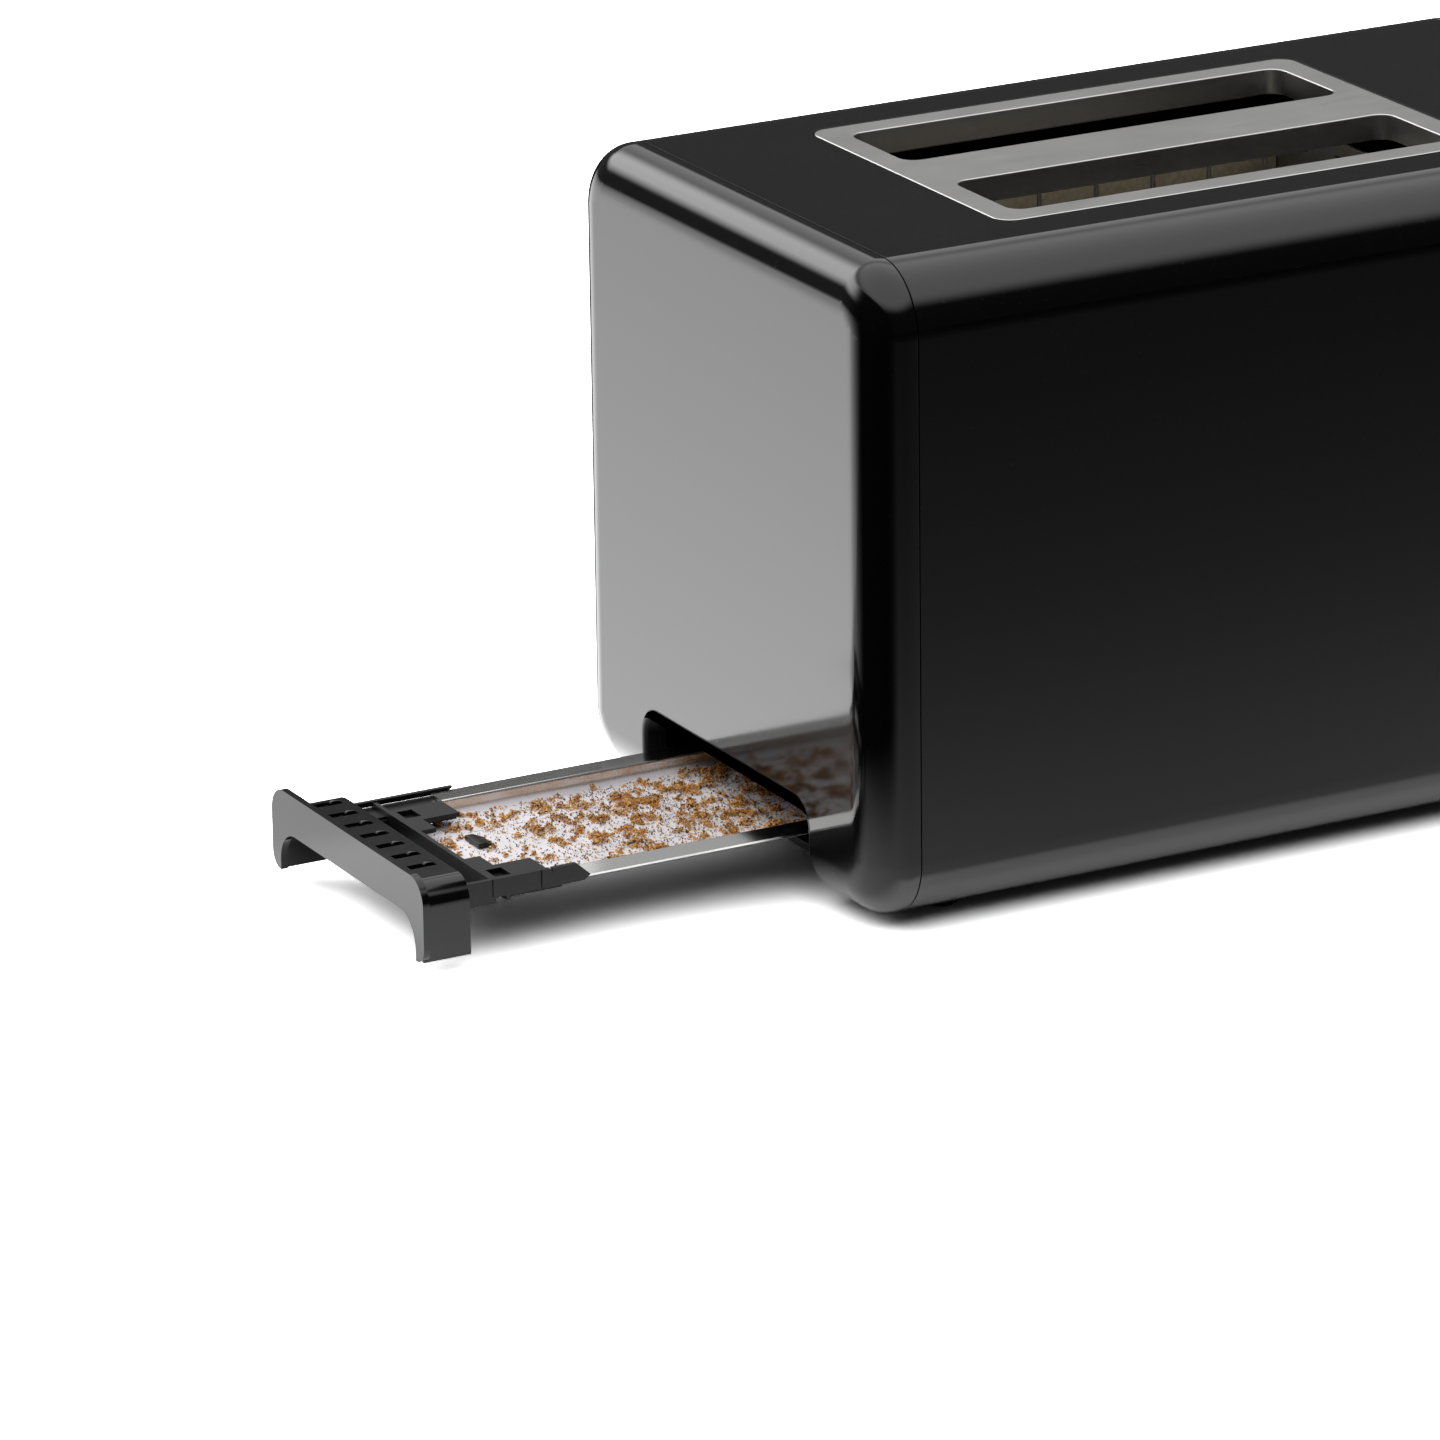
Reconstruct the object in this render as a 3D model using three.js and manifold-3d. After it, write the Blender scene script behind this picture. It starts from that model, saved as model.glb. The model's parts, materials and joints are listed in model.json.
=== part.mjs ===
// A two-slot pop-up toaster with its crumb tray drawn out. Millimetres, +Z up.
// The body's long axis is X: the crumb tray slides out at the low end, and the lever, dial and buttons are
// at the high end. Every piece is placed from the body's own datum, which is the outer face of the tray end,
// on the table and on the centre line. One group shift at the end puts the origin under the middle of the
// whole object.
import * as THREE from "three";
import { mergeVertices } from "three/addons/utils/BufferGeometryUtils.js";
import Module from "manifold-3d";

const wasm = await Module();
wasm.setup();

// ---------- Driving dimensions ----------

const GAP = 0.3; // clearance between two pieces that touch

// Body
const BODY_LENGTH = 310;
const BODY_WIDTH = 184;
const BODY_TOP = 200;
const FOOT_HEIGHT = 3.5;
const CORNER_RADIUS = 20; // of the body's section across its length
const END_FILLET = 13; // round edge of the two end faces, along X
const FACE_MARGIN = 15; // the same edge, measured across the end face
const WALL = 2.4;
const CAP_LENGTH = 14.8; // end face to the seam
const SKIRT_LENGTH = 5; // how far a cap's skirt enters the sleeve
const SKIRT_WALL = 1.6;
const BASE_FROM_CORNER = 0.5; // base plate's side, from where the body's corner radius starts
const BASE_INSET = 18; // base plate's end, from an end face
const BASE_THICKNESS = 2.5;
const BASE_RIM = 1.6;
const BASE_RIM_HEIGHT = 4;
const BASE_VENTS = 6; // in each of two rows
const BASE_VENT_SIZE = [5, 22];
const BASE_VENT_PITCH = 24;

// Crumb tray
const TRAY_OUT = 124.7; // how far the tray stands out at rest
const DOOR_CLEARANCE = 0.6; // between the tray front and the doorway
const FRAME_RIM = 2; // the doorway's frame inside the cap
const FRAME_DEPTH = 7;
const HANDLE_WIDTH = 99.6;
const HANDLE_TOP = 30.1;
const HANDLE_BOTTOM = 4.7;
const HANDLE_RADIUS = 8;
const HANDLE_DEPTH = 16.2;
const FRONT_PLATE = 2.2;
const FRONT_LIP = 2.4; // how far the front plate stands out past the handle's body
const SHELF_RADII = [7, 16]; // the body's round top corners, low Y then high Y
const HANDLE_WALL = 2.2;
const ARCH_TOP = 17.7;
const ARCH_RADIUS = 10;
const LEG_WIDTH = 5.4;
const LEG_RADIUS = 5;
const VENT_COUNT = 7;
const VENT_PITCH = 10.2;
const VENT_SIZE = [9, 3.2]; // along X, along Y
const VENT_START = 4.6;
const GROOVE_LENGTH = 13.6;
const BRACKET_HALF = 44.9;
const BRACKET_WALL = 1.6;
const BRACKET_LENGTH = 40; // from the handle's back to the tips of its side walls
const BRACKET_TOPS = [24.9, 20.9]; // the side walls' tops, low Y then high Y
const LEDGES = [20.4, 18.3]; // the channel beside each side wall, low Y then high Y
const ARM_SHEET = 1.4;
const ARM_REACH = 17; // how far the two arms reach over the pan
const ARM_INNER = 22.7; // an arm's inner edge, from the centre line
const TAB_INNER = 14;
const TAB_REACH = 5;
const ARM_HOLE = [5, 6.5]; // along X, along Y
const PAN_LENGTH = 208;
const PAN_WIDTH = 86;
const PAN_LIP = 8.6;
const PAN_TOP = 20.5;
const PAN_DEPTH = 5;
const PAN_SHEET = 0.6;
const PAN_BEND = 3;
const TOOTH_SIZE = [6, 9.2, 1.8]; // the snap tooth that comes up through the pan
const TONGUE_WIDTH = 14; // under the pan, where the tooth is fixed
const TOOTH_PLACE = [13, 7.6]; // from the pan's front edge, from the centre line
const RAIL_LENGTH = 185;
const RAIL_WIDTH = 7;
const RAIL_START = 58;
const RAIL_RIB = 2.4; // how high it stands above the lip
const RAIL_OVERLAP = 3; // how far a rail reaches over the pan's lip

// Toasting chamber
const SLOT_LENGTH = 150;
const SLOT_WIDTH = 36;
const SLOT_SPACING = 62; // between the two slots' centre lines
const CHAMBER_START = 66;
const CHAMBER_LENGTH = 160;
const FRAME_SHEET = 1.2;
const FRAME_BOTTOM = 26;
const FRAME_HEADROOM = 18; // under the body's top
const FRAME_FROM_SIDE = 4.5; // end frames, from the base plate's side
const FRAME_LEG = 12;
const SHIELD_SHEET = 0.8;
const SHIELD_FLANGE = 5;
const SHIELD_INSET = 4; // from the end frames' top and bottom
const BOARD_SHEET = 0.8;
const BOARD_BOTTOM = 38;
const BOARD_HEADROOM = 28;
const BOARD_SETBACK = 8; // from the slot's edge
const RIBBON_SHEET = 0.5;
const RIBBON_WIDTH = 2.2;
const RIBBON_RUNS = 9;
const RIBBON_INSET = 10; // from the board's edges
const GUARD_WIRE = 1; // radius
const GUARD_WIRES = 8;
const GUARD_MARGIN = 10; // from the chamber's ends to the first and last wires
const GUARD_TRAVEL = 7;
const GUARD_BOTTOM = 44;
const GUARD_HEADROOM = 24;
const GUARD_FROM_SLOT = 1.5; // inside the slot's edge
const GUARD_ROD_REACH = 5; // past the chamber's ends
const BEZEL_MARGIN = 9; // from a slot's end to the bezel's edge
const BEZEL_RADIUS = 6;
const BEZEL_THICKNESS = 1.5;
const BEZEL_FLANGE = 4; // how far it reaches under the sleeve's top
const COLLAR_DEPTH = 8;

// Lift
const LIFT_TRAVEL = 78;
const HIGH_LIFT = 12;
const LIFT_TOP = 112;
const LIFT_HEIGHT = 8;
const LIFT_SHEET = 1.6;
const LIFT_PINS = 6;
const LIFT_PIN = 1; // radius
const LIFT_PIN_REACH = 8;
const CARRIAGE_SHEET = 2;
const CARRIAGE_LENGTH = 32;
const CARRIAGE_MARGIN = 4; // past the bread lifts' centre lines
const CARRIAGE_FROM_FRAME = 9;
const ROD_RADIUS = 3;
const ROD_FROM_FRAME = 22;
const RUNNING_CLEARANCE = 0.3;
const BUSH_RADIUS = 6;
const BUSH_HEIGHT = 18;
const SPRING_RADIUS = 5;
const SPRING_WIRE = 0.7;
const SPRING_TURNS = 7;
const LEVER_SHEET = 2.4;
const LEVER_HEIGHT = 8;
const LEVER_ROOM = 1.8; // around the arm, in the control cap's slot
const LEVER_Y = -30;
const LEVER_SIZE = [19, 30, 14];
const LEVER_CLEARANCE = 1; // from the end face to the knob
const LEVER_GRIP = 0.6; // share of the knob's depth that the arm enters

// Electromagnet that holds the lift down
const MAGNET_FROM_EDGE = 12; // from the carriage's far edge
const MAGNET_SHEET = 2;
const MAGNET_POLE = 3; // radius
const MAGNET_COIL = 6.4; // outer radius of the winding
const ARMATURE_SIZE = [18, 14, 2.5];

// Controls
const CONTROL_Y = 40;
const DIAL_Z = 54;
const DIAL_RADIUS = 17;
const DIAL_DEPTH = 13;
const SHAFT_RADIUS = 3;
const BUTTON_Z = [88, 104, 120];
const BUTTON_RADIUS = 5.5;
const BUTTON_PROUD = 2.2;
const BUTTON_TRAVEL = 1.5;
const BOARD_FROM_END = 30; // circuit board, from the control end face
const CIRCUIT_BOARD = [1.6, 54, 106];
const CORD_BORE = 3.75;
const CORD_FROM_SIDE = 34;
const CORD_Z = 30;
const GROMMET_NECK = 2; // wall round the bore
const GROMMET_FLANGE = 2;

// Feet and fasteners
const FOOT_RADIUS = 5.8;
const FOOT_STEM = 3;
const FOOT_FROM_END = 35.4;
const FOOT_FROM_SIDE = 5.5; // from the base plate's side
const SCREW_RADIUS = 1.6;
const SCREW_HEAD = 3.2;
const SCREW_HEAD_HEIGHT = 1.2;
const SCREW_REACH = 6; // above the base plate
const TAB_LENGTH = 10; // of the end frames' feet, which the screws hold

// ---------- Values that follow from them ----------

const BODY_BOTTOM = FOOT_HEIGHT;
const BODY_MIDDLE_Z = (BODY_TOP + BODY_BOTTOM) / 2;
const BASE_TOP = BODY_BOTTOM + BASE_THICKNESS;
const BASE_HALF_WIDTH = BODY_WIDTH / 2 - CORNER_RADIUS - BASE_FROM_CORNER;
const FRAME_WIDTH = 2 * (BASE_HALF_WIDTH - FRAME_FROM_SIDE);
const FRAME_TOP = BODY_TOP - FRAME_HEADROOM;
const BOARD_TOP = BODY_TOP - BOARD_HEADROOM;
const GUARD_TOP = BODY_TOP - GUARD_HEADROOM;
const CORD_PLACE = [CORD_FROM_SIDE - BODY_WIDTH / 2, CORD_Z]; // Y, Z
const SEAMS = [CAP_LENGTH, BODY_LENGTH - CAP_LENGTH];
const DOOR_WIDTH = HANDLE_WIDTH + 2 * DOOR_CLEARANCE;
const DOOR_TOP = HANDLE_TOP + 1.6 * DOOR_CLEARANCE;
const CHAMBER_END = CHAMBER_START + CHAMBER_LENGTH;
const CHAMBER_MIDDLE = (CHAMBER_START + CHAMBER_END) / 2;
const SLOT_Y = [-SLOT_SPACING / 2, SLOT_SPACING / 2];
const BRACKET_START = HANDLE_DEPTH + GAP;
const CROSS_WALL = HANDLE_DEPTH + GROOVE_LENGTH;
const PAN_START = CROSS_WALL + ARM_SHEET + GAP;
const UNDER_PAN = PAN_TOP - PAN_DEPTH - PAN_SHEET - GAP;
const ROD_X = CHAMBER_END + FRAME_SHEET + ROD_FROM_FRAME;
const CARRIAGE_START = CHAMBER_END + FRAME_SHEET + CARRIAGE_FROM_FRAME;
const LEVER_START = BODY_LENGTH + LEVER_CLEARANCE;
const CARRIAGE_Z = LIFT_TOP - LIFT_HEIGHT;
const LEVER_Z = CARRIAGE_Z + CARRIAGE_SHEET + LEVER_HEIGHT / 2;
const MAGNET_X = CARRIAGE_START + CARRIAGE_LENGTH - MAGNET_FROM_EDGE;
const MAGNET_Y = LEVER_Y - 2;
const CIRCUIT_X = BODY_LENGTH - BOARD_FROM_END;

// ---------- Materials ----------

const finish = (color, roughness, metalness) =>
  new THREE.MeshStandardMaterial({ color, roughness, metalness });
const glossBlack = finish(0x101011, 0.12, 0);
const satinBlack = finish(0x1a1a1b, 0.4, 0);
const steel = finish(0xc9c9c6, 0.25, 1);
const zincSheet = finish(0xa8abad, 0.45, 1);
const mica = finish(0xb9a98a, 0.7, 0);
const nichrome = finish(0x6d6660, 0.4, 1);
const springSteel = finish(0x8f9193, 0.3, 1);
const rubber = finish(0x0c0c0c, 0.85, 0);
const circuitGreen = finish(0x1c4a33, 0.5, 0);
const copper = finish(0x9a4f26, 0.35, 1);
const darkPlastic = finish(0x232426, 0.6, 0);

// ---------- Solids ----------

const AXIS = {
  x: new THREE.Vector3(1, 0, 0),
  y: new THREE.Vector3(0, 1, 0),
  z: new THREE.Vector3(0, 0, 1),
};

function solid(geometry) {
  const bare = geometry.clone();
  bare.deleteAttribute("normal");
  bare.deleteAttribute("uv");
  const merged = mergeVertices(bare, 1e-4);
  return new wasm.Manifold(
    new wasm.Mesh({
      numProp: 3,
      vertProperties: new Float32Array(merged.attributes.position.array),
      triVerts: new Uint32Array(merged.index.array),
    }),
  );
}

function geometryOf(manifold) {
  const { vertProperties, triVerts } = manifold.getMesh();
  const indexed = new THREE.BufferGeometry();
  indexed.setAttribute("position", new THREE.BufferAttribute(vertProperties, 3));
  indexed.setIndex(new THREE.BufferAttribute(triVerts, 1));
  const flat = indexed.toNonIndexed();
  flat.computeVertexNormals();
  return flat;
}

// A box from its low corner to its high corner.
function block(x0, x1, y0, y1, z0, z1) {
  const box = new THREE.BoxGeometry(x1 - x0, y1 - y0, z1 - z0);
  return solid(box.translate((x0 + x1) / 2, (y0 + y1) / 2, (z0 + z1) / 2));
}

// A round bar along one axis, from low to high; at holds its other two coordinates in X, Y, Z order.
function bar(axis, radius, low, high, at, sides = 12) {
  const middle = (low + high) / 2;
  const cylinder = new THREE.CylinderGeometry(radius, radius, high - low, sides);
  if (axis === "x") return solid(cylinder.rotateZ(-Math.PI / 2).translate(middle, at[0], at[1]));
  if (axis === "z") return solid(cylinder.rotateX(Math.PI / 2).translate(at[0], at[1], middle));
  return solid(cylinder.translate(at[0], middle, at[1]));
}

// A shape drawn in (Y, Z), extruded along X.
function alongX(shape, x0, x1, options = {}) {
  const made = new THREE.ExtrudeGeometry(shape, {
    depth: x1 - x0,
    bevelEnabled: false,
    curveSegments: 3,
    ...options,
  });
  made.applyMatrix4(new THREE.Matrix4().makeBasis(AXIS.y, AXIS.z, AXIS.x));
  return solid(made.translate(x0, 0, 0));
}

// A shape drawn in (X, Z), extruded along Y.
function alongY(shape, y0, y1) {
  const made = new THREE.ExtrudeGeometry(shape, { depth: y1 - y0, bevelEnabled: false, curveSegments: 3 });
  const towardsLowY = AXIS.y.clone().negate();
  made.applyMatrix4(new THREE.Matrix4().makeBasis(AXIS.x, AXIS.z, towardsLowY));
  return solid(made.translate(0, y1, 0));
}

// A shape drawn in (X, Y), extruded along Z.
function alongZ(shape, z0, z1) {
  const made = new THREE.ExtrudeGeometry(shape, { depth: z1 - z0, bevelEnabled: false, curveSegments: 3 });
  return solid(made.translate(0, 0, z0));
}

// A body turned about an axis along X through (y, z); the profile is [radius, x] pairs.
function turnedX(profile, y, z, sides = 16) {
  const lathe = new THREE.LatheGeometry(profile.map(([r, x]) => new THREE.Vector2(r, x)), sides);
  return solid(lathe.rotateZ(-Math.PI / 2).translate(0, y, z));
}

// A body turned about an axis along Z through (x, y); the profile is [radius, z] pairs.
function turnedZ(profile, x, y, sides = 12) {
  const lathe = new THREE.LatheGeometry(profile.map(([r, z]) => new THREE.Vector2(r, z)), sides);
  return solid(lathe.rotateX(Math.PI / 2).translate(x, y, 0));
}

// The span from a to b on one side of the centre line, low end first.
const mirrored = (side, a, b) => [Math.min(side * a, side * b), Math.max(side * a, side * b)];

const join = (first, ...others) => others.reduce((sum, other) => sum.add(other), first);
const cut = (first, ...others) => others.reduce((rest, other) => rest.subtract(other), first);

// A rectangle with round corners about (u, v).
function roundedRect(width, height, radius, u = 0, v = 0) {
  const [left, right, low, high] = [u - width / 2, u + width / 2, v - height / 2, v + height / 2];
  const shape = new THREE.Shape();
  shape.moveTo(left + radius, low);
  shape.lineTo(right - radius, low);
  shape.absarc(right - radius, low + radius, radius, -Math.PI / 2, 0, false);
  shape.lineTo(right, high - radius);
  shape.absarc(right - radius, high - radius, radius, 0, Math.PI / 2, false);
  shape.lineTo(left + radius, high);
  shape.absarc(left + radius, high - radius, radius, Math.PI / 2, Math.PI, false);
  shape.lineTo(left, low + radius);
  shape.absarc(left + radius, low + radius, radius, Math.PI, Math.PI * 1.5, false);
  return shape;
}

// A doorway outline in (Y, Z): straight sides, round top corners, flat bottom.
function doorway(halfWidth, bottom, top, radius) {
  const shape = new THREE.Shape();
  shape.moveTo(-halfWidth, bottom);
  shape.lineTo(halfWidth, bottom);
  shape.lineTo(halfWidth, top - radius);
  shape.absarc(halfWidth - radius, top - radius, radius, 0, Math.PI / 2, false);
  shape.lineTo(-halfWidth + radius, top);
  shape.absarc(-halfWidth + radius, top - radius, radius, Math.PI / 2, Math.PI, false);
  return shape;
}

// ---------- Assembly ----------

const toaster = new THREE.Group();
const tray = new THREE.Group();
toaster.add(tray);

function piece(name, manifold, material, group = toaster) {
  const mesh = new THREE.Mesh(geometryOf(manifold), material);
  mesh.name = name;
  group.add(mesh);
}

// The body's outer form, shrunk by an inset on every side.
function bodyForm(inset) {
  const margin = FACE_MARGIN - inset;
  const section = roundedRect(
    BODY_WIDTH - 2 * inset,
    BODY_TOP - BODY_BOTTOM - 2 * inset,
    CORNER_RADIUS - inset,
    0,
    BODY_MIDDLE_Z,
  );
  return alongX(section, END_FILLET, BODY_LENGTH - END_FILLET, {
    bevelEnabled: true,
    bevelThickness: END_FILLET - inset,
    bevelSize: margin,
    bevelOffset: -margin,
    bevelSegments: 4,
  });
}

const WIDE = BODY_WIDTH; // reach of a cutting block that passes right through the body
const slab = (x0, x1) => block(x0, x1, -WIDE, WIDE, -WIDE, 2 * WIDE);
const shell = cut(bodyForm(0), bodyForm(WALL));
const doorwayCut = alongX(doorway(DOOR_WIDTH / 2, 0, DOOR_TOP, HANDLE_RADIUS), -1, BASE_INSET + 10);

// A cap's skirt: a ring inside its rim that enters the sleeve, left off along the bottom.
function skirt(seam, inwards) {
  const rimStart = seam - inwards * 6;
  const rimEnd = seam - inwards * GAP;
  const skirtEnd = seam + inwards * SKIRT_LENGTH;
  const ordered = (a, b) => slab(Math.min(a, b), Math.max(a, b));
  const hollow = bodyForm(WALL + GAP + SKIRT_WALL);
  const rim = cut(bodyForm(WALL - GAP), hollow).intersect(ordered(rimStart, rimEnd));
  const tongue = cut(bodyForm(WALL + GAP), hollow).intersect(ordered(rimStart, skirtEnd));
  const clear = BASE_HALF_WIDTH + 2 * GAP;
  return cut(join(rim, tongue), block(-1, BODY_LENGTH + 1, -clear, clear, 0, DOOR_TOP + 10));
}

function buildTrayCap() {
  const cap = shell.intersect(slab(-1, SEAMS[0] - GAP / 2));
  const [half, top] = [DOOR_WIDTH / 2 + FRAME_RIM, DOOR_TOP + FRAME_RIM];
  const outline = doorway(half, 0, top, HANDLE_RADIUS + FRAME_RIM);
  const frame = alongX(outline, WALL - GAP, FRAME_DEPTH).intersect(bodyForm(GAP));
  piece("end_cap_tray", cut(join(cap, skirt(SEAMS[0], 1), frame), doorwayCut), glossBlack);
}

function buildControlCap() {
  const cap = shell.intersect(slab(SEAMS[1] + GAP / 2, BODY_LENGTH + 1));
  const through = [BODY_LENGTH - 2 * WALL, BODY_LENGTH + 1];
  const leverLow = LEVER_Z - LIFT_TRAVEL - LEVER_HEIGHT / 2 - LEVER_ROOM;
  const leverHigh = LEVER_Z + HIGH_LIFT + LEVER_HEIGHT / 2 + LEVER_ROOM;
  const leverHalf = LEVER_SHEET / 2 + LEVER_ROOM;
  const leverSlot = block(...through, LEVER_Y - leverHalf, LEVER_Y + leverHalf, leverLow, leverHigh);
  const dialHole = bar("x", SHAFT_RADIUS + 1, ...through, [CONTROL_Y, DIAL_Z]);
  const buttonHoles = BUTTON_Z.map((z) => bar("x", BUTTON_RADIUS + GAP, ...through, [CONTROL_Y, z], 16));
  const cordHole = bar("x", CORD_BORE + GROMMET_NECK + GAP, ...through, CORD_PLACE);
  const body = join(cap, skirt(SEAMS[1], -1));
  piece("end_cap_control", cut(body, leverSlot, dialHole, ...buttonHoles, cordHole), glossBlack);
}

function bezelOutline(grow) {
  const length = SLOT_LENGTH + 2 * (BEZEL_MARGIN + grow);
  const width = SLOT_SPACING + SLOT_WIDTH + 2 * (BEZEL_MARGIN + grow);
  return roundedRect(length, width, BEZEL_RADIUS + grow, CHAMBER_MIDDLE, 0);
}

function buildSleeve() {
  const middle = shell.intersect(slab(SEAMS[0] + GAP / 2, SEAMS[1] - GAP / 2));
  const baseHalf = BASE_HALF_WIDTH + GAP;
  const bottom = block(0, BODY_LENGTH, -baseHalf, baseHalf, 0, BASE_TOP + 5);
  const top = alongZ(bezelOutline(GAP), BODY_TOP - 10, BODY_TOP + 1);
  piece("outer_sleeve", cut(middle, bottom, top), glossBlack);
}

const slotOutline = (y, grow) =>
  roundedRect(SLOT_LENGTH + 2 * grow, SLOT_WIDTH + 2 * grow, 5 + grow, CHAMBER_MIDDLE, y);

function buildBezel() {
  const underTop = BODY_TOP - WALL - GAP;
  const face = alongZ(bezelOutline(0), BODY_TOP - WALL - 2 * GAP, BODY_TOP);
  const flange = alongZ(bezelOutline(BEZEL_FLANGE), underTop - BEZEL_THICKNESS, underTop);
  const collars = SLOT_Y.map((y) => alongZ(slotOutline(y, 1), BODY_TOP - COLLAR_DEPTH, BODY_TOP - 1));
  const slots = SLOT_Y.map((y) => alongZ(slotOutline(y, 0), BODY_TOP - 2 * COLLAR_DEPTH, BODY_TOP + 1));
  piece("slot_bezel", cut(join(face, flange, ...collars), ...slots), steel);
}

const footPlaces = [];
for (const x of [FOOT_FROM_END, BODY_LENGTH - FOOT_FROM_END]) {
  for (const side of [-1, 1]) footPlaces.push([x, side * (BASE_HALF_WIDTH - FOOT_FROM_SIDE)]);
}
const screwY = FRAME_WIDTH / 2 - FRAME_LEG / 2;
const screwPlaces = [];
for (const x of [CHAMBER_START - TAB_LENGTH / 2, CHAMBER_END + FRAME_SHEET + TAB_LENGTH / 2]) {
  for (const y of [-screwY, screwY]) screwPlaces.push([x, y]);
}

function buildBase() {
  const x = [BASE_INSET, BODY_LENGTH - BASE_INSET];
  const plate = block(...x, -BASE_HALF_WIDTH, BASE_HALF_WIDTH, BODY_BOTTOM, BASE_TOP);
  const rim = [-1, 1].map((side) => {
    const y = mirrored(side, BASE_HALF_WIDTH - BASE_RIM, BASE_HALF_WIDTH);
    return block(...x, ...y, BASE_TOP - GAP, BASE_TOP + BASE_RIM_HEIGHT);
  });
  const footHoles = footPlaces.map(([x, y]) => bar("z", FOOT_STEM + GAP, 0, BASE_TOP + 1, [x, y]));
  const screwHoles = screwPlaces.map(([x, y]) => bar("z", SCREW_RADIUS + GAP, 0, BASE_TOP + 1, [x, y]));
  const headTop = BODY_BOTTOM + SCREW_HEAD_HEIGHT;
  const headHoles = screwPlaces.map(([x, y]) => bar("z", SCREW_HEAD + GAP, 0, headTop, [x, y]));
  const vents = [];
  const [ventLength, ventWidth] = BASE_VENT_SIZE;
  for (let i = 0; i < BASE_VENTS; i++) {
    const middle = CHAMBER_MIDDLE + (i - (BASE_VENTS - 1) / 2) * BASE_VENT_PITCH;
    const ventX = [middle - ventLength / 2, middle + ventLength / 2];
    for (const y of SLOT_Y) {
      vents.push(block(...ventX, y - ventWidth / 2, y + ventWidth / 2, 0, BASE_TOP + 1));
    }
  }
  const holes = [...footHoles, ...screwHoles, ...headHoles, ...vents];
  piece("base_plate", cut(join(plate, ...rim), ...holes), satinBlack);
}

function buildFeet() {
  footPlaces.forEach(([x, y], i) => {
    const profile = [
      [0, 0],
      [FOOT_RADIUS - 1, 0],
      [FOOT_RADIUS, 1],
      [FOOT_RADIUS, FOOT_HEIGHT - GAP],
      [FOOT_STEM, FOOT_HEIGHT - GAP],
      [FOOT_STEM, BASE_TOP + 1],
      [0, BASE_TOP + 1],
    ];
    piece(`foot_${i + 1}`, turnedZ(profile, x, y), rubber);
  });
}

function buildScrews() {
  const headTop = BODY_BOTTOM + SCREW_HEAD_HEIGHT - GAP;
  const tip = BASE_TOP + SCREW_REACH;
  screwPlaces.forEach(([x, y], i) => {
    const profile = [
      [0, BODY_BOTTOM + 0.1],
      [SCREW_HEAD, BODY_BOTTOM + 0.1],
      [SCREW_HEAD, headTop],
      [SCREW_RADIUS, headTop],
      [SCREW_RADIUS, tip],
      [0, tip],
    ];
    piece(`base_screw_${i + 1}`, turnedZ(profile, x, y, 8), springSteel);
  });
}

// ---------- Crumb tray ----------

const handleHalf = HANDLE_WIDTH / 2;
const panHalf = PAN_WIDTH / 2;

// The front plate's outline: round top corners, and legs whose outer bottom corners are round.
function plateOutline() {
  const shape = new THREE.Shape();
  const [half, low, leg, top] = [handleHalf, HANDLE_BOTTOM, LEG_RADIUS, HANDLE_TOP - HANDLE_RADIUS];
  shape.moveTo(-half + leg, low);
  shape.lineTo(half - leg, low);
  shape.absarc(half - leg, low + leg, leg, -Math.PI / 2, 0, false);
  shape.lineTo(half, top);
  shape.absarc(half - HANDLE_RADIUS, top, HANDLE_RADIUS, 0, Math.PI / 2, false);
  shape.lineTo(-half + HANDLE_RADIUS, HANDLE_TOP);
  shape.absarc(-half + HANDLE_RADIUS, top, HANDLE_RADIUS, Math.PI / 2, Math.PI, false);
  shape.lineTo(-half, low + leg);
  shape.absarc(-half + leg, low + leg, leg, Math.PI, Math.PI * 1.5, false);
  return shape;
}

// The handle body's outline behind the plate, shrunk by an inset.
function shelfOutline(inset, bottom) {
  const half = handleHalf - FRONT_LIP - inset;
  const top = HANDLE_TOP - FRONT_LIP - inset;
  const [low, high] = SHELF_RADII.map((radius) => radius - inset);
  const shape = new THREE.Shape();
  shape.moveTo(-half, bottom);
  shape.lineTo(half, bottom);
  shape.lineTo(half, top - high);
  shape.absarc(half - high, top - high, high, 0, Math.PI / 2, false);
  shape.lineTo(-half + low, top);
  shape.absarc(-half + low, top - low, low, Math.PI / 2, Math.PI, false);
  return shape;
}

// Each vent is wide in front and narrows to half its width behind.
function ventCuts() {
  const [length, width] = VENT_SIZE;
  const narrowing = VENT_START + length * 0.6;
  const cuts = [];
  for (let i = 0; i < VENT_COUNT; i++) {
    const y = (i - (VENT_COUNT - 1) / 2) * VENT_PITCH;
    cuts.push(block(VENT_START, narrowing, y - width / 2, y + width / 2, ARCH_TOP, HANDLE_TOP));
    cuts.push(block(narrowing - GAP, VENT_START + length, y - width / 2, y, ARCH_TOP, HANDLE_TOP));
  }
  return cuts;
}

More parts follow.
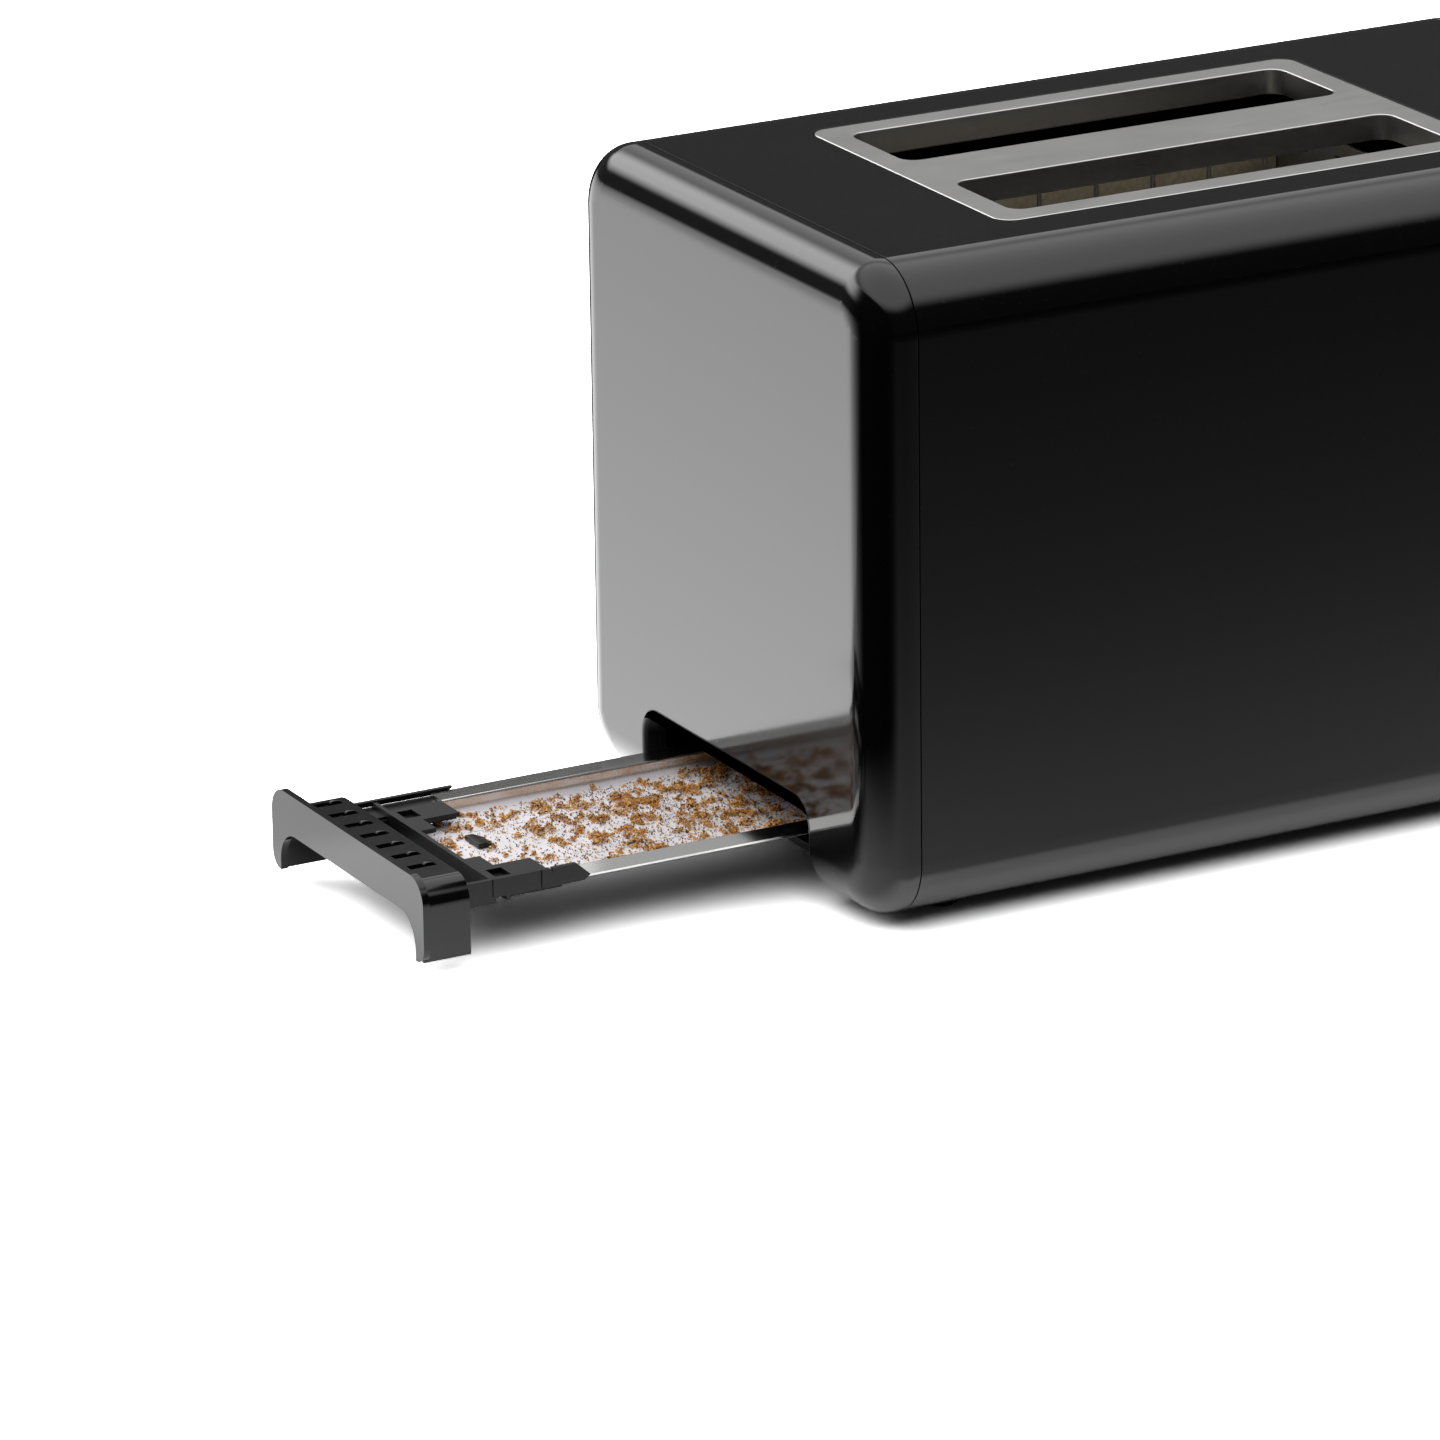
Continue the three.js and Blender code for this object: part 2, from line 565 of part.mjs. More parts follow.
function buildHandle() {
  const plate = alongX(plateOutline(), 0, FRONT_PLATE);
  const arch = alongX(doorway(handleHalf - LEG_WIDTH, 0, ARCH_TOP, ARCH_RADIUS), -1, FRONT_PLATE + GAP);
  const outside = alongX(shelfOutline(0, HANDLE_BOTTOM), FRONT_PLATE / 2, HANDLE_DEPTH);
  const hollow = alongX(shelfOutline(HANDLE_WALL, 0), FRONT_PLATE, HANDLE_DEPTH + 1);
  const aboveArch = block(-1, HANDLE_DEPTH + 1, -handleHalf, handleHalf, ARCH_TOP, HANDLE_TOP);
  const backX = [HANDLE_DEPTH - HANDLE_WALL, HANDLE_DEPTH];
  const backWall = alongX(shelfOutline(HANDLE_WALL / 2, 0), ...backX).intersect(aboveArch);
  const body = join(cut(outside, hollow, arch), backWall);
  piece("tray_handle", cut(join(cut(plate, arch), body), ...ventCuts()), glossBlack, tray);
}

// A side wall of the bracket in (X, Z): level along its top, hooked down over the pan's lip at its tip.
function sideWallOutline(top) {
  const tip = BRACKET_START + BRACKET_LENGTH;
  const bottom = PAN_TOP - 2 * PAN_SHEET;
  const shape = new THREE.Shape();
  shape.moveTo(BRACKET_START, bottom);
  shape.lineTo(tip - 2, bottom);
  shape.lineTo(tip, bottom + 1.6);
  shape.lineTo(tip - (top - bottom - 1.6) * 1.1, top);
  shape.lineTo(BRACKET_START, top);
  return shape;
}

// The bracket that joins the pan to the handle: a trough behind the handle, a cross wall at the pan's front
// edge, a side wall and channel on each side, and two arms that reach over the pan.
function buildBracket() {
  const trough = panHalf - PAN_LIP;
  const crossEnd = CROSS_WALL + ARM_SHEET;
  const armEnd = crossEnd + ARM_REACH;
  const armZ = [PAN_TOP - ARM_SHEET, PAN_TOP];
  const underside = UNDER_PAN - ARM_SHEET;
  const floor = block(BRACKET_START, crossEnd, -trough, trough, underside, UNDER_PAN);
  const crossWall = block(CROSS_WALL, crossEnd, -BRACKET_HALF + 1, BRACKET_HALF - 1, LEDGES[1] - 1, PAN_TOP);
  const crossWeb = block(CROSS_WALL, crossEnd, -trough, trough, underside, PAN_TOP);
  const tongueX = [CROSS_WALL, PAN_START + TOOTH_PLACE[0] + TOOTH_SIZE[0]];
  const tongueY = [TOOTH_PLACE[1] - TONGUE_WIDTH / 2, TOOTH_PLACE[1] + TONGUE_WIDTH / 2];
  const tongue = block(...tongueX, ...tongueY, underside, UNDER_PAN);
  const sides = [-1, 1].map((side, i) => {
    const ledge = LEDGES[i];
    const wallY = mirrored(side, BRACKET_HALF - BRACKET_WALL, BRACKET_HALF);
    const wall = alongY(sideWallOutline(BRACKET_TOPS[i]), ...wallY);
    const channelY = mirrored(side, trough - ARM_SHEET, BRACKET_HALF - BRACKET_WALL / 2);
    const channel = block(BRACKET_START, armEnd - GAP, ...channelY, ledge - ARM_SHEET, ledge);
    const edgeY = mirrored(side, trough - ARM_SHEET, trough);
    const riser = block(BRACKET_START, crossEnd, ...edgeY, underside, ledge);
    const arm = block(CROSS_WALL, armEnd, ...mirrored(side, ARM_INNER, trough), ...armZ);
    const armEdge = block(CROSS_WALL, armEnd, ...edgeY, ledge - ARM_SHEET, PAN_TOP);
    const tab = block(CROSS_WALL, crossEnd + TAB_REACH, ...mirrored(side, TAB_INNER, ARM_INNER + 1), ...armZ);
    const holeX = [crossEnd + 1, crossEnd + 1 + ARM_HOLE[0]];
    const holeY = mirrored(side, ARM_INNER + 3, ARM_INNER + 3 + ARM_HOLE[1]);
    const hole = block(...holeX, ...holeY, armZ[0] - 1, PAN_TOP + 1);
    return join(wall, channel, riser, cut(arm, hole), armEdge, tab);
  });
  piece("tray_bracket", join(floor, crossWall, crossWeb, tongue, ...sides), satinBlack, tray);
}

// The pan's section: flat lips, round bends down to a flat floor, one sheet thick.
function panSection() {
  const floorHalf = panHalf - PAN_LIP;
  const low = PAN_TOP - PAN_DEPTH;
  const bend = PAN_BEND;
  const shape = new THREE.Shape();
  shape.moveTo(-panHalf, PAN_TOP);
  shape.lineTo(-panHalf, PAN_TOP - PAN_SHEET);
  shape.lineTo(-floorHalf - PAN_SHEET, PAN_TOP - PAN_SHEET);
  shape.lineTo(-floorHalf - PAN_SHEET, low + bend);
  shape.absarc(-floorHalf + bend, low + bend, bend + PAN_SHEET, Math.PI, Math.PI * 1.5, false);
  shape.lineTo(floorHalf - bend, low - PAN_SHEET);
  shape.absarc(floorHalf - bend, low + bend, bend + PAN_SHEET, -Math.PI / 2, 0, false);
  shape.lineTo(floorHalf + PAN_SHEET, PAN_TOP - PAN_SHEET);
  shape.lineTo(panHalf, PAN_TOP - PAN_SHEET);
  shape.lineTo(panHalf, PAN_TOP);
  shape.lineTo(floorHalf, PAN_TOP);
  shape.lineTo(floorHalf, low + bend);
  shape.absarc(floorHalf - bend, low + bend, bend, 0, -Math.PI / 2, true);
  shape.lineTo(-floorHalf + bend, low);
  shape.absarc(-floorHalf + bend, low + bend, bend, -Math.PI / 2, -Math.PI, true);
  shape.lineTo(-floorHalf, PAN_TOP);
  return shape;
}

// The lips and the trough's sides start behind the bracket's arms, and only the flat floor runs on to the
// cross wall.
function buildPan() {
  const end = PAN_START + PAN_LENGTH;
  const floorHalf = panHalf - PAN_LIP;
  const low = PAN_TOP - PAN_DEPTH - PAN_SHEET;
  const trough = alongX(panSection(), PAN_START, end);
  const backWall = block(end - PAN_SHEET, end, -floorHalf, floorHalf, low, PAN_TOP);
  const lipStart = CROSS_WALL + ARM_SHEET + ARM_REACH + GAP;
  const flat = floorHalf - PAN_BEND - PAN_SHEET;
  const sideCuts = [-1, 1].map((side) =>
    block(PAN_START - 1, lipStart, ...mirrored(side, flat, panHalf + 1), 0, PAN_TOP + 1),
  );
  const [x, y] = TOOTH_PLACE;
  const [length, width] = TOOTH_SIZE;
  const window = block(
    PAN_START + x + 1,
    PAN_START + x + length - 1,
    y - width / 2 + 1,
    y + width / 2 - 1,
    0,
    PAN_TOP,
  );
  piece("crumb_pan", cut(join(trough, backWall), ...sideCuts, window), steel, tray);
}

// A wedge-shaped snap tooth with a stem that passes through the pan's window.
function buildTooth() {
  const [length, width, height] = TOOTH_SIZE;
  const floorTop = PAN_TOP - PAN_DEPTH;
  const x = PAN_START + TOOTH_PLACE[0];
  const y = TOOTH_PLACE[1];
  const head = new THREE.Shape();
  head.moveTo(x, floorTop + GAP);
  head.lineTo(x + length, floorTop + GAP);
  head.lineTo(x + length * 0.4, floorTop + height);
  head.lineTo(x, floorTop + height);
  const stemX = [x + 1 + GAP, x + length - 1 - GAP];
  const stemY = [y - width / 2 + 1 + GAP, y + width / 2 - 1 - GAP];
  const stem = block(...stemX, ...stemY, UNDER_PAN + GAP, floorTop + 2 * GAP);
  piece("pan_tooth", join(alongY(head, y - width / 2, y + width / 2), stem), satinBlack, tray);
}

// Rails on the base plate: each holds the pan's lip between a shelf and an overhanging rib.
function buildRails() {
  for (const [side, name] of [[-1, "tray_rail_front"], [1, "tray_rail_rear"]]) {
    const outer = panHalf + RAIL_WIDTH - RAIL_OVERLAP;
    const x = [RAIL_START, RAIL_START + RAIL_LENGTH];
    const y = mirrored(side, panHalf - RAIL_OVERLAP, outer);
    const body = block(...x, ...y, BASE_TOP + GAP, PAN_TOP + RAIL_RIB);
    const lipRoom = mirrored(side, panHalf - RAIL_OVERLAP - 1, panHalf + 2 * GAP);
    const groove = block(x[0] - 1, x[1] + 1, ...lipRoom, PAN_TOP - PAN_SHEET - GAP, PAN_TOP + GAP);
    piece(name, cut(body, groove), darkPlastic);
  }
}

// ---------- Toasting chamber ----------

const guardPlaces = SLOT_Y.flatMap((y) => [
  { y: y - SLOT_WIDTH / 2 + GUARD_FROM_SLOT, inwards: 1 },
  { y: y + SLOT_WIDTH / 2 - GUARD_FROM_SLOT, inwards: -1 },
]);
const guardRods = [GUARD_BOTTOM, GUARD_TOP];
const wirePitch = (CHAMBER_LENGTH - 2 * GUARD_MARGIN) / (GUARD_WIRES - 1);
const wireX = (index) => CHAMBER_START + GUARD_MARGIN + index * wirePitch;

// The end frames' slots: open at the bottom for each bread lift, and level ones for the guards' rods.
function frameCuts(x0, x1) {
  const reach = [x0 - 1, x1 + 1];
  const liftHalf = LIFT_SHEET / 2 + 0.8;
  const liftSlots = SLOT_Y.map((y) =>
    block(...reach, y - liftHalf, y + liftHalf, FRAME_BOTTOM - 1, LIFT_TOP + HIGH_LIFT + 2),
  );
  const room = GUARD_WIRE + 0.6;
  const outwards = (GUARD_TRAVEL * HIGH_LIFT) / LIFT_TRAVEL;
  const guardSlots = guardPlaces.flatMap(({ y, inwards }) =>
    guardRods.map((z) => {
      const [a, b] = [y - inwards * outwards, y + inwards * GUARD_TRAVEL];
      return block(...reach, Math.min(a, b) - room, Math.max(a, b) + room, z - room, z + room);
    }),
  );
  return [...liftSlots, ...guardSlots];
}

function buildEndFrames() {
  const half = FRAME_WIDTH / 2;
  const places = [
    ["end_frame_tray", CHAMBER_START - FRAME_SHEET, -1],
    ["end_frame_control", CHAMBER_END, 1],
  ];
  for (const [name, x, outwards] of places) {
    const sheet = [x, x + FRAME_SHEET];
    const plate = block(...sheet, -half, half, FRAME_BOTTOM, FRAME_TOP);
    const tab = outwards > 0 ? [x, sheet[1] + TAB_LENGTH] : [x - TAB_LENGTH, sheet[1]];
    const legs = [-1, 1].flatMap((side) => {
      const span = mirrored(side, half - FRAME_LEG, half);
      return [
        block(...sheet, ...span, BASE_TOP + GAP, FRAME_BOTTOM + 1),
        block(...tab, ...span, BASE_TOP + GAP, BASE_TOP + GAP + FRAME_SHEET),
      ];
    });
    const screwHoles = screwPlaces.map((place) => bar("z", SCREW_RADIUS + GAP, 0, BASE_TOP + 5, place, 8));
    piece(name, cut(join(plate, ...legs), ...frameCuts(...sheet), ...screwHoles), zincSheet);
  }
}

const insideX = [CHAMBER_START + GAP, CHAMBER_END - GAP];

function buildShields() {
  const outer = FRAME_WIDTH / 2;
  for (const [side, name] of [[-1, "heat_shield_front"], [1, "heat_shield_rear"]]) {
    const [low, high] = [FRAME_BOTTOM + SHIELD_INSET, FRAME_TOP - SHIELD_INSET];
    const sheet = block(...insideX, ...mirrored(side, outer - SHIELD_SHEET, outer), low, high);
    const flanges = [low, high - SHIELD_SHEET].map((z) =>
      block(...insideX, ...mirrored(side, outer - SHIELD_FLANGE, outer), z, z + SHIELD_SHEET),
    );
    piece(name, join(sheet, ...flanges), zincSheet);
  }
}

// A heating ribbon: level runs joined by a short drop at alternate ends, a gap away from its board.
function ribbonRuns(thickness) {
  const ends = [insideX[0] + RIBBON_INSET, insideX[1] - RIBBON_INSET];
  const first = BOARD_BOTTOM + RIBBON_INSET;
  const pitch = (BOARD_TOP - BOARD_BOTTOM - 2 * RIBBON_INSET) / (RIBBON_RUNS - 1);
  const runs = [];
  for (let run = 0; run < RIBBON_RUNS; run++) {
    const z = first + run * pitch;
    runs.push(block(...ends, ...thickness, z, z + RIBBON_WIDTH));
    if (run === 0) continue;
    const x = run % 2 ? [ends[1] - RIBBON_WIDTH, ends[1]] : [ends[0], ends[0] + RIBBON_WIDTH];
    runs.push(block(...x, ...thickness, z - pitch, z + RIBBON_WIDTH));
  }
  return runs;
}

function buildHeaters() {
  const boards = SLOT_Y.flatMap((y) => [
    { y: y - SLOT_WIDTH / 2 - BOARD_SETBACK, towards: 1 },
    { y: y + SLOT_WIDTH / 2 + BOARD_SETBACK, towards: -1 },
  ]);
  boards.forEach(({ y, towards }, i) => {
    const board = block(...insideX, y - BOARD_SHEET / 2, y + BOARD_SHEET / 2, BOARD_BOTTOM, BOARD_TOP);
    piece(`heater_board_${i + 1}`, board, mica);
    const near = y + towards * (BOARD_SHEET / 2 + GAP);
    const far = near + towards * RIBBON_SHEET;
    const runs = ribbonRuns([Math.min(near, far), Math.max(near, far)]);
    piece(`heater_ribbon_${i + 1}`, join(...runs), nichrome);
  });
}

function buildGuards() {
  const rodX = [CHAMBER_START - GUARD_ROD_REACH, CHAMBER_END + GUARD_ROD_REACH];
  guardPlaces.forEach(({ y }, i) => {
    const rods = guardRods.map((z) => bar("x", GUARD_WIRE, ...rodX, [y, z], 6));
    const wires = [];
    for (let w = 0; w < GUARD_WIRES; w++) {
      wires.push(bar("z", GUARD_WIRE * 0.8, ...guardRods, [wireX(w), y], 6));
    }
    piece(`bread_guard_${i + 1}`, join(...rods, ...wires), steel);
  });
}

// ---------- Lift ----------

function buildLifts() {
  SLOT_Y.forEach((y, i) => {
    const spine = block(
      CHAMBER_START - 6,
      CARRIAGE_START - GAP,
      y - LIFT_SHEET / 2,
      y + LIFT_SHEET / 2,
      LIFT_TOP - LIFT_HEIGHT,
      LIFT_TOP - LIFT_PIN,
    );
    const pins = [];
    for (let p = 0; p < LIFT_PINS; p++) {
      const place = [wireX(p + 1), LIFT_TOP - LIFT_PIN];
      pins.push(bar("y", LIFT_PIN, y - LIFT_PIN_REACH, y + LIFT_PIN_REACH, place, 8));
    }
    piece(i ? "bread_lift_rear" : "bread_lift_front", join(spine, ...pins), steel);
  });
}

function buildCarriage() {
  const x = [CARRIAGE_START, CARRIAGE_START + CARRIAGE_LENGTH];
  const top = CARRIAGE_Z + CARRIAGE_SHEET;
  const half = SLOT_SPACING / 2 + CARRIAGE_MARGIN;
  const plate = block(...x, -half, half, CARRIAGE_Z, top);
  const lip = block(x[0], x[0] + 1.5, -half, half, CARRIAGE_Z, LIFT_TOP);
  const bushHole = bar("z", BUSH_RADIUS - 2 + RUNNING_CLEARANCE, CARRIAGE_Z - 1, top + 1, [ROD_X, 0], 16);
  piece("carriage_plate", cut(join(plate, lip), bushHole), zincSheet);

  const bushBottom = CARRIAGE_Z - GAP - BUSH_HEIGHT / 3;
  const bushProfile = [
    [ROD_RADIUS + RUNNING_CLEARANCE, bushBottom],
    [BUSH_RADIUS, bushBottom],
    [BUSH_RADIUS, CARRIAGE_Z - GAP],
    [BUSH_RADIUS - 2, CARRIAGE_Z - GAP],
    [BUSH_RADIUS - 2, bushBottom + BUSH_HEIGHT],
    [ROD_RADIUS + RUNNING_CLEARANCE, bushBottom + BUSH_HEIGHT],
    [ROD_RADIUS + RUNNING_CLEARANCE, bushBottom],
  ];
  piece("carriage_bush", turnedZ(bushProfile, ROD_X, 0, 16), darkPlastic);

  const armTip = LEVER_START + LEVER_SIZE[0] * LEVER_GRIP;
  const armZ = [top + GAP, top + GAP + LEVER_HEIGHT];
  const armY = [LEVER_Y - LEVER_SHEET / 2, LEVER_Y + LEVER_SHEET / 2];
  const arm = block(x[0] + 6, armTip, ...armY, ...armZ);
  const armFoot = block(x[0] + 6, x[1] - 2, LEVER_Y - 6, LEVER_Y + 6, armZ[0], armZ[0] + 1.2);
  piece("lever_arm", join(arm, armFoot), zincSheet);

  const [length, width, thickness] = ARMATURE_SIZE;
  const armatureX = [MAGNET_X - length / 2, MAGNET_X + length / 2];
  const armatureY = [MAGNET_Y - width / 2, MAGNET_Y + width / 2];
  const armatureTop = CARRIAGE_Z - GAP;
  const armature = block(...armatureX, ...armatureY, armatureTop - thickness, armatureTop);
  piece("magnet_armature", armature, springSteel);
}

function buildLever() {
  const [depth, width, height] = LEVER_SIZE;
  const outline = roundedRect(width, height, height / 2 - 1, LEVER_Y, LEVER_Z + GAP);
  const edge = 2;
  const grip = alongX(outline, LEVER_START + edge, LEVER_START + depth - edge, {
    bevelEnabled: true,
    bevelThickness: edge,
    bevelSize: edge,
    bevelOffset: -edge,
    bevelSegments: 2,
  });
  const socket = block(
    LEVER_START - 1,
    LEVER_START + depth * LEVER_GRIP + GAP,
    LEVER_Y - LEVER_SHEET / 2 - GAP,
    LEVER_Y + LEVER_SHEET / 2 + GAP,
    LEVER_Z - LEVER_HEIGHT / 2,
    LEVER_Z + LEVER_HEIGHT / 2 + 2 * GAP,
  );
  piece("lever_knob", cut(grip, socket), glossBlack);
}

class Helix extends THREE.Curve {
  constructor(radius, low, high, turns, x, y) {
    super();
    Object.assign(this, { radius, low, high, turns, x, y });
  }

  getPoint(t, target = new THREE.Vector3()) {
    const angle = 2 * Math.PI * this.turns * t;
    return target.set(
      this.x + this.radius * Math.cos(angle),
      this.y + this.radius * Math.sin(angle),
      this.low + (this.high - this.low) * t,
    );
  }
}

function buildRodAndSpring() {
  const rodTop = FRAME_TOP + 2;
  piece("guide_rod", bar("z", ROD_RADIUS, BASE_TOP + GAP, rodTop, [ROD_X, 0]), springSteel);

  const holderLow = FRAME_TOP - 6;
  const frameFace = CHAMBER_END + FRAME_SHEET + GAP;
  const holder = join(
    block(frameFace, ROD_X + 7, -9, 9, holderLow, holderLow + 2),
    block(frameFace, frameFace + 1.5, -9, 9, holderLow - 14, holderLow + 1),
  );
  const rodHole = bar("z", ROD_RADIUS + GAP, holderLow - 1, holderLow + 3, [ROD_X, 0]);
  piece("rod_holder", cut(holder, rodHole), zincSheet);

  const low = BASE_TOP + GAP + SPRING_WIRE;
  const high = CARRIAGE_Z - GAP - BUSH_HEIGHT / 3 - GAP - SPRING_WIRE;
  const section = new THREE.Shape();
  section.absarc(0, 0, SPRING_WIRE, 0, 2 * Math.PI, false);
  const coil = new THREE.ExtrudeGeometry(section, {
    extrudePath: new Helix(SPRING_RADIUS, low, high, SPRING_TURNS, ROD_X, 0),
    steps: SPRING_TURNS * 10,
    curveSegments: 3,
    bevelEnabled: false,
  });
  piece("return_spring", solid(coil), springSteel);
}

// ---------- Controls ----------

function buildMagnet() {
  const [length, width, thickness] = ARMATURE_SIZE;
  const [x0, x1] = [MAGNET_X - length / 2, MAGNET_X + length / 2];
  const y = [MAGNET_Y - width / 2, MAGNET_Y + width / 2];
  const bottom = BASE_TOP + GAP;
  const top = CARRIAGE_Z - GAP - thickness - LIFT_TRAVEL - GAP;
  const core = join(
    block(x0, x1, ...y, bottom, bottom + MAGNET_SHEET),
    block(x0, x0 + MAGNET_SHEET, ...y, bottom, top),
    bar("z", MAGNET_POLE, bottom + 1, top, [MAGNET_X, MAGNET_Y]),
  );
  piece("magnet_core", core, springSteel);
  const coilLow = bottom + MAGNET_SHEET + GAP;
  const coilProfile = [
    [MAGNET_POLE + GAP, coilLow],
    [MAGNET_COIL, coilLow],
    [MAGNET_COIL, top - GAP],
    [MAGNET_POLE + GAP, top - GAP],
    [MAGNET_POLE + GAP, coilLow],
  ];
  piece("magnet_coil", turnedZ(coilProfile, MAGNET_X, MAGNET_Y, 16), copper);
}

function buildControls() {
  const [sheet, width, height] = CIRCUIT_BOARD;
  const face = CIRCUIT_X + sheet;
  const boardLow = DIAL_Z - 24;
  const boardY = [CONTROL_Y - width / 2, CONTROL_Y + width / 2];
  piece("circuit_board", block(CIRCUIT_X, face, ...boardY, boardLow, boardLow + height), circuitGreen);

  const regulatorEnd = face + GAP + 8;
  const regulator = join(
    block(face + GAP, regulatorEnd, CONTROL_Y - 8.5, CONTROL_Y + 8.5, DIAL_Z - 8.5, DIAL_Z + 8.5),
    bar("x", 5, face + 1, regulatorEnd + 3, [CONTROL_Y, DIAL_Z]),
  );
  const regulatorBore = bar("x", SHAFT_RADIUS + GAP, regulatorEnd - 4, regulatorEnd + 5, [CONTROL_Y, DIAL_Z]);
  piece("browning_regulator", cut(regulator, regulatorBore), zincSheet);
  const shaftTip = BODY_LENGTH + DIAL_DEPTH * 0.7;
  const shaft = bar("x", SHAFT_RADIUS, regulatorEnd - 4 + GAP, shaftTip, [CONTROL_Y, DIAL_Z]);
  piece("dial_shaft", shaft, springSteel);

  const dialStart = BODY_LENGTH + 0.6;
  const dialEnd = BODY_LENGTH + DIAL_DEPTH;
  const dialProfile = [
    [SHAFT_RADIUS + GAP, dialStart],
    [DIAL_RADIUS, dialStart],
    [DIAL_RADIUS - 0.6, dialEnd - 1.5],
    [DIAL_RADIUS - 2, dialEnd],
    [0, dialEnd],
    [0, shaftTip + GAP],
    [SHAFT_RADIUS + GAP, shaftTip + GAP],
    [SHAFT_RADIUS + GAP, dialStart],
  ];
  const pointerZ = [DIAL_Z + 5, DIAL_Z + DIAL_RADIUS - 3];
  const pointer = block(dialEnd - 1, dialEnd + 0.6, CONTROL_Y - 0.8, CONTROL_Y + 0.8, ...pointerZ);
  piece("browning_dial", join(turnedX(dialProfile, CONTROL_Y, DIAL_Z, 32), pointer), satinBlack);

  ["defrost_button", "reheat_button", "stop_button"].forEach((name, i) => {
    const z = BUTTON_Z[i];
    const switchEnd = face + GAP + 4;
    const tact = block(face + GAP, switchEnd, CONTROL_Y - 3, CONTROL_Y + 3, z - 3, z + 3);
    piece(name.replace("button", "switch"), tact, darkPlastic);
    const stemStart = switchEnd + BUTTON_TRAVEL + GAP;
    const proud = BODY_LENGTH + BUTTON_PROUD;
    const profile = [
      [0, stemStart],
      [2, stemStart],
      [2, BODY_LENGTH - WALL - 5],
      [BUTTON_RADIUS, BODY_LENGTH - WALL - 5],
      [BUTTON_RADIUS, proud - 0.8],
      [BUTTON_RADIUS - 0.8, proud],
      [0, proud],
    ];
    piece(name, turnedX(profile, CONTROL_Y, z), satinBlack);
  });
}

function buildCordGrommet() {
  const neck = CORD_BORE + GROMMET_NECK;
  const flange = neck + GROMMET_FLANGE;
  const inner = BODY_LENGTH - WALL - GAP;
  const outer = BODY_LENGTH + GAP;
  const profile = [
    [CORD_BORE, inner - 2],
    [flange, inner - 2],
    [flange, inner],
    [neck, inner],
    [neck, outer],
    [flange, outer],
    [neck + 1, outer + 2.5],
    [CORD_BORE, outer + 2.5],
    [CORD_BORE, inner - 2],
  ];
  piece("cord_grommet", turnedX(profile, ...CORD_PLACE), rubber);
}

buildTrayCap();
buildControlCap();
buildSleeve();
buildBezel();
buildBase();
buildFeet();
buildScrews();
buildHandle();
buildBracket();
buildPan();
buildTooth();
buildRails();
buildEndFrames();
buildShields();
buildHeaters();
buildGuards();
buildLifts();
buildCarriage();
buildLever();
buildRodAndSpring();
buildMagnet();
buildControls();
buildCordGrommet();

// The tray's group holds it drawn out; the whole object is then centred over its own footprint.
const lowX = -TRAY_OUT;
const highX = LEVER_START + LEVER_SIZE[0];
tray.position.x = -TRAY_OUT;
toaster.position.x = -(lowX + highX) / 2;

export default toaster;
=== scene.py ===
import json
import math
import random

import bmesh
import bpy
from mathutils import Matrix, Vector


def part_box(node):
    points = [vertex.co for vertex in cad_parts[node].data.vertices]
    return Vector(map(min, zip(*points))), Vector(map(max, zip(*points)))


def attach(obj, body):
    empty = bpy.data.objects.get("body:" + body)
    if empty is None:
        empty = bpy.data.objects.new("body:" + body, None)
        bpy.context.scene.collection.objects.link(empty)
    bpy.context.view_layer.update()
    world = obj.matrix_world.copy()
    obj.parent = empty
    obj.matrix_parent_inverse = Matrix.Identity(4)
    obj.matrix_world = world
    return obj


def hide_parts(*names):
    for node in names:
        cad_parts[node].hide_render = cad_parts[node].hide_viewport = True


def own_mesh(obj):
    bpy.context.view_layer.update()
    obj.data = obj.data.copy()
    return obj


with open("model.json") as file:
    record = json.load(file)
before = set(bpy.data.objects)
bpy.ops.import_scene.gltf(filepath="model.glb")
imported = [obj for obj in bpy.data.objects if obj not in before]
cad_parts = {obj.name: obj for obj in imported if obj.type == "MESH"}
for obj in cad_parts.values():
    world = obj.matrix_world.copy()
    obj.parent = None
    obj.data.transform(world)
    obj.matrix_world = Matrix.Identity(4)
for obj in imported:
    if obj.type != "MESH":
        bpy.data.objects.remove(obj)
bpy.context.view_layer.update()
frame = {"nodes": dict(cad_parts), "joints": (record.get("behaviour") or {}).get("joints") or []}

MM = 0.001
NODES = frame["nodes"]


# ---------- Camera and studio ----------
# The toaster stands on a plain white table. The studio is a dim room with a wide soft light overhead and a
# strip behind. Reflections of white screens round the table are painted into the table's colour for gloss
# rays only, and a black sheet that only gloss sees paints a dark reflection on the body's corner.

AZIMUTH = math.radians(-28.15)
ELEVATION = math.radians(19.0)
ROLL = math.radians(-0.81)
CAMERA_DISTANCE = 2.5
CAMERA_AIM = Vector((-0.1348, -0.0578, 0.0653))

away = Vector(
    (
        math.sin(AZIMUTH) * math.cos(ELEVATION),
        -math.cos(AZIMUTH) * math.cos(ELEVATION),
        math.sin(ELEVATION),
    )
)
camera = bpy.data.objects.new("camera", bpy.data.cameras.new("camera"))
camera.data.lens = 217.6
camera.data.sensor_width = 36
camera.data.clip_end = 50
upright = away.to_track_quat("Z", "Y").to_matrix().to_4x4()
camera.matrix_world = (
    Matrix.Translation(CAMERA_AIM + away * CAMERA_DISTANCE) @ upright @ Matrix.Rotation(ROLL, 4, "Z")
)
bpy.context.scene.collection.objects.link(camera)
bpy.context.scene.camera = camera
bpy.context.scene.view_settings.view_transform = "Standard"


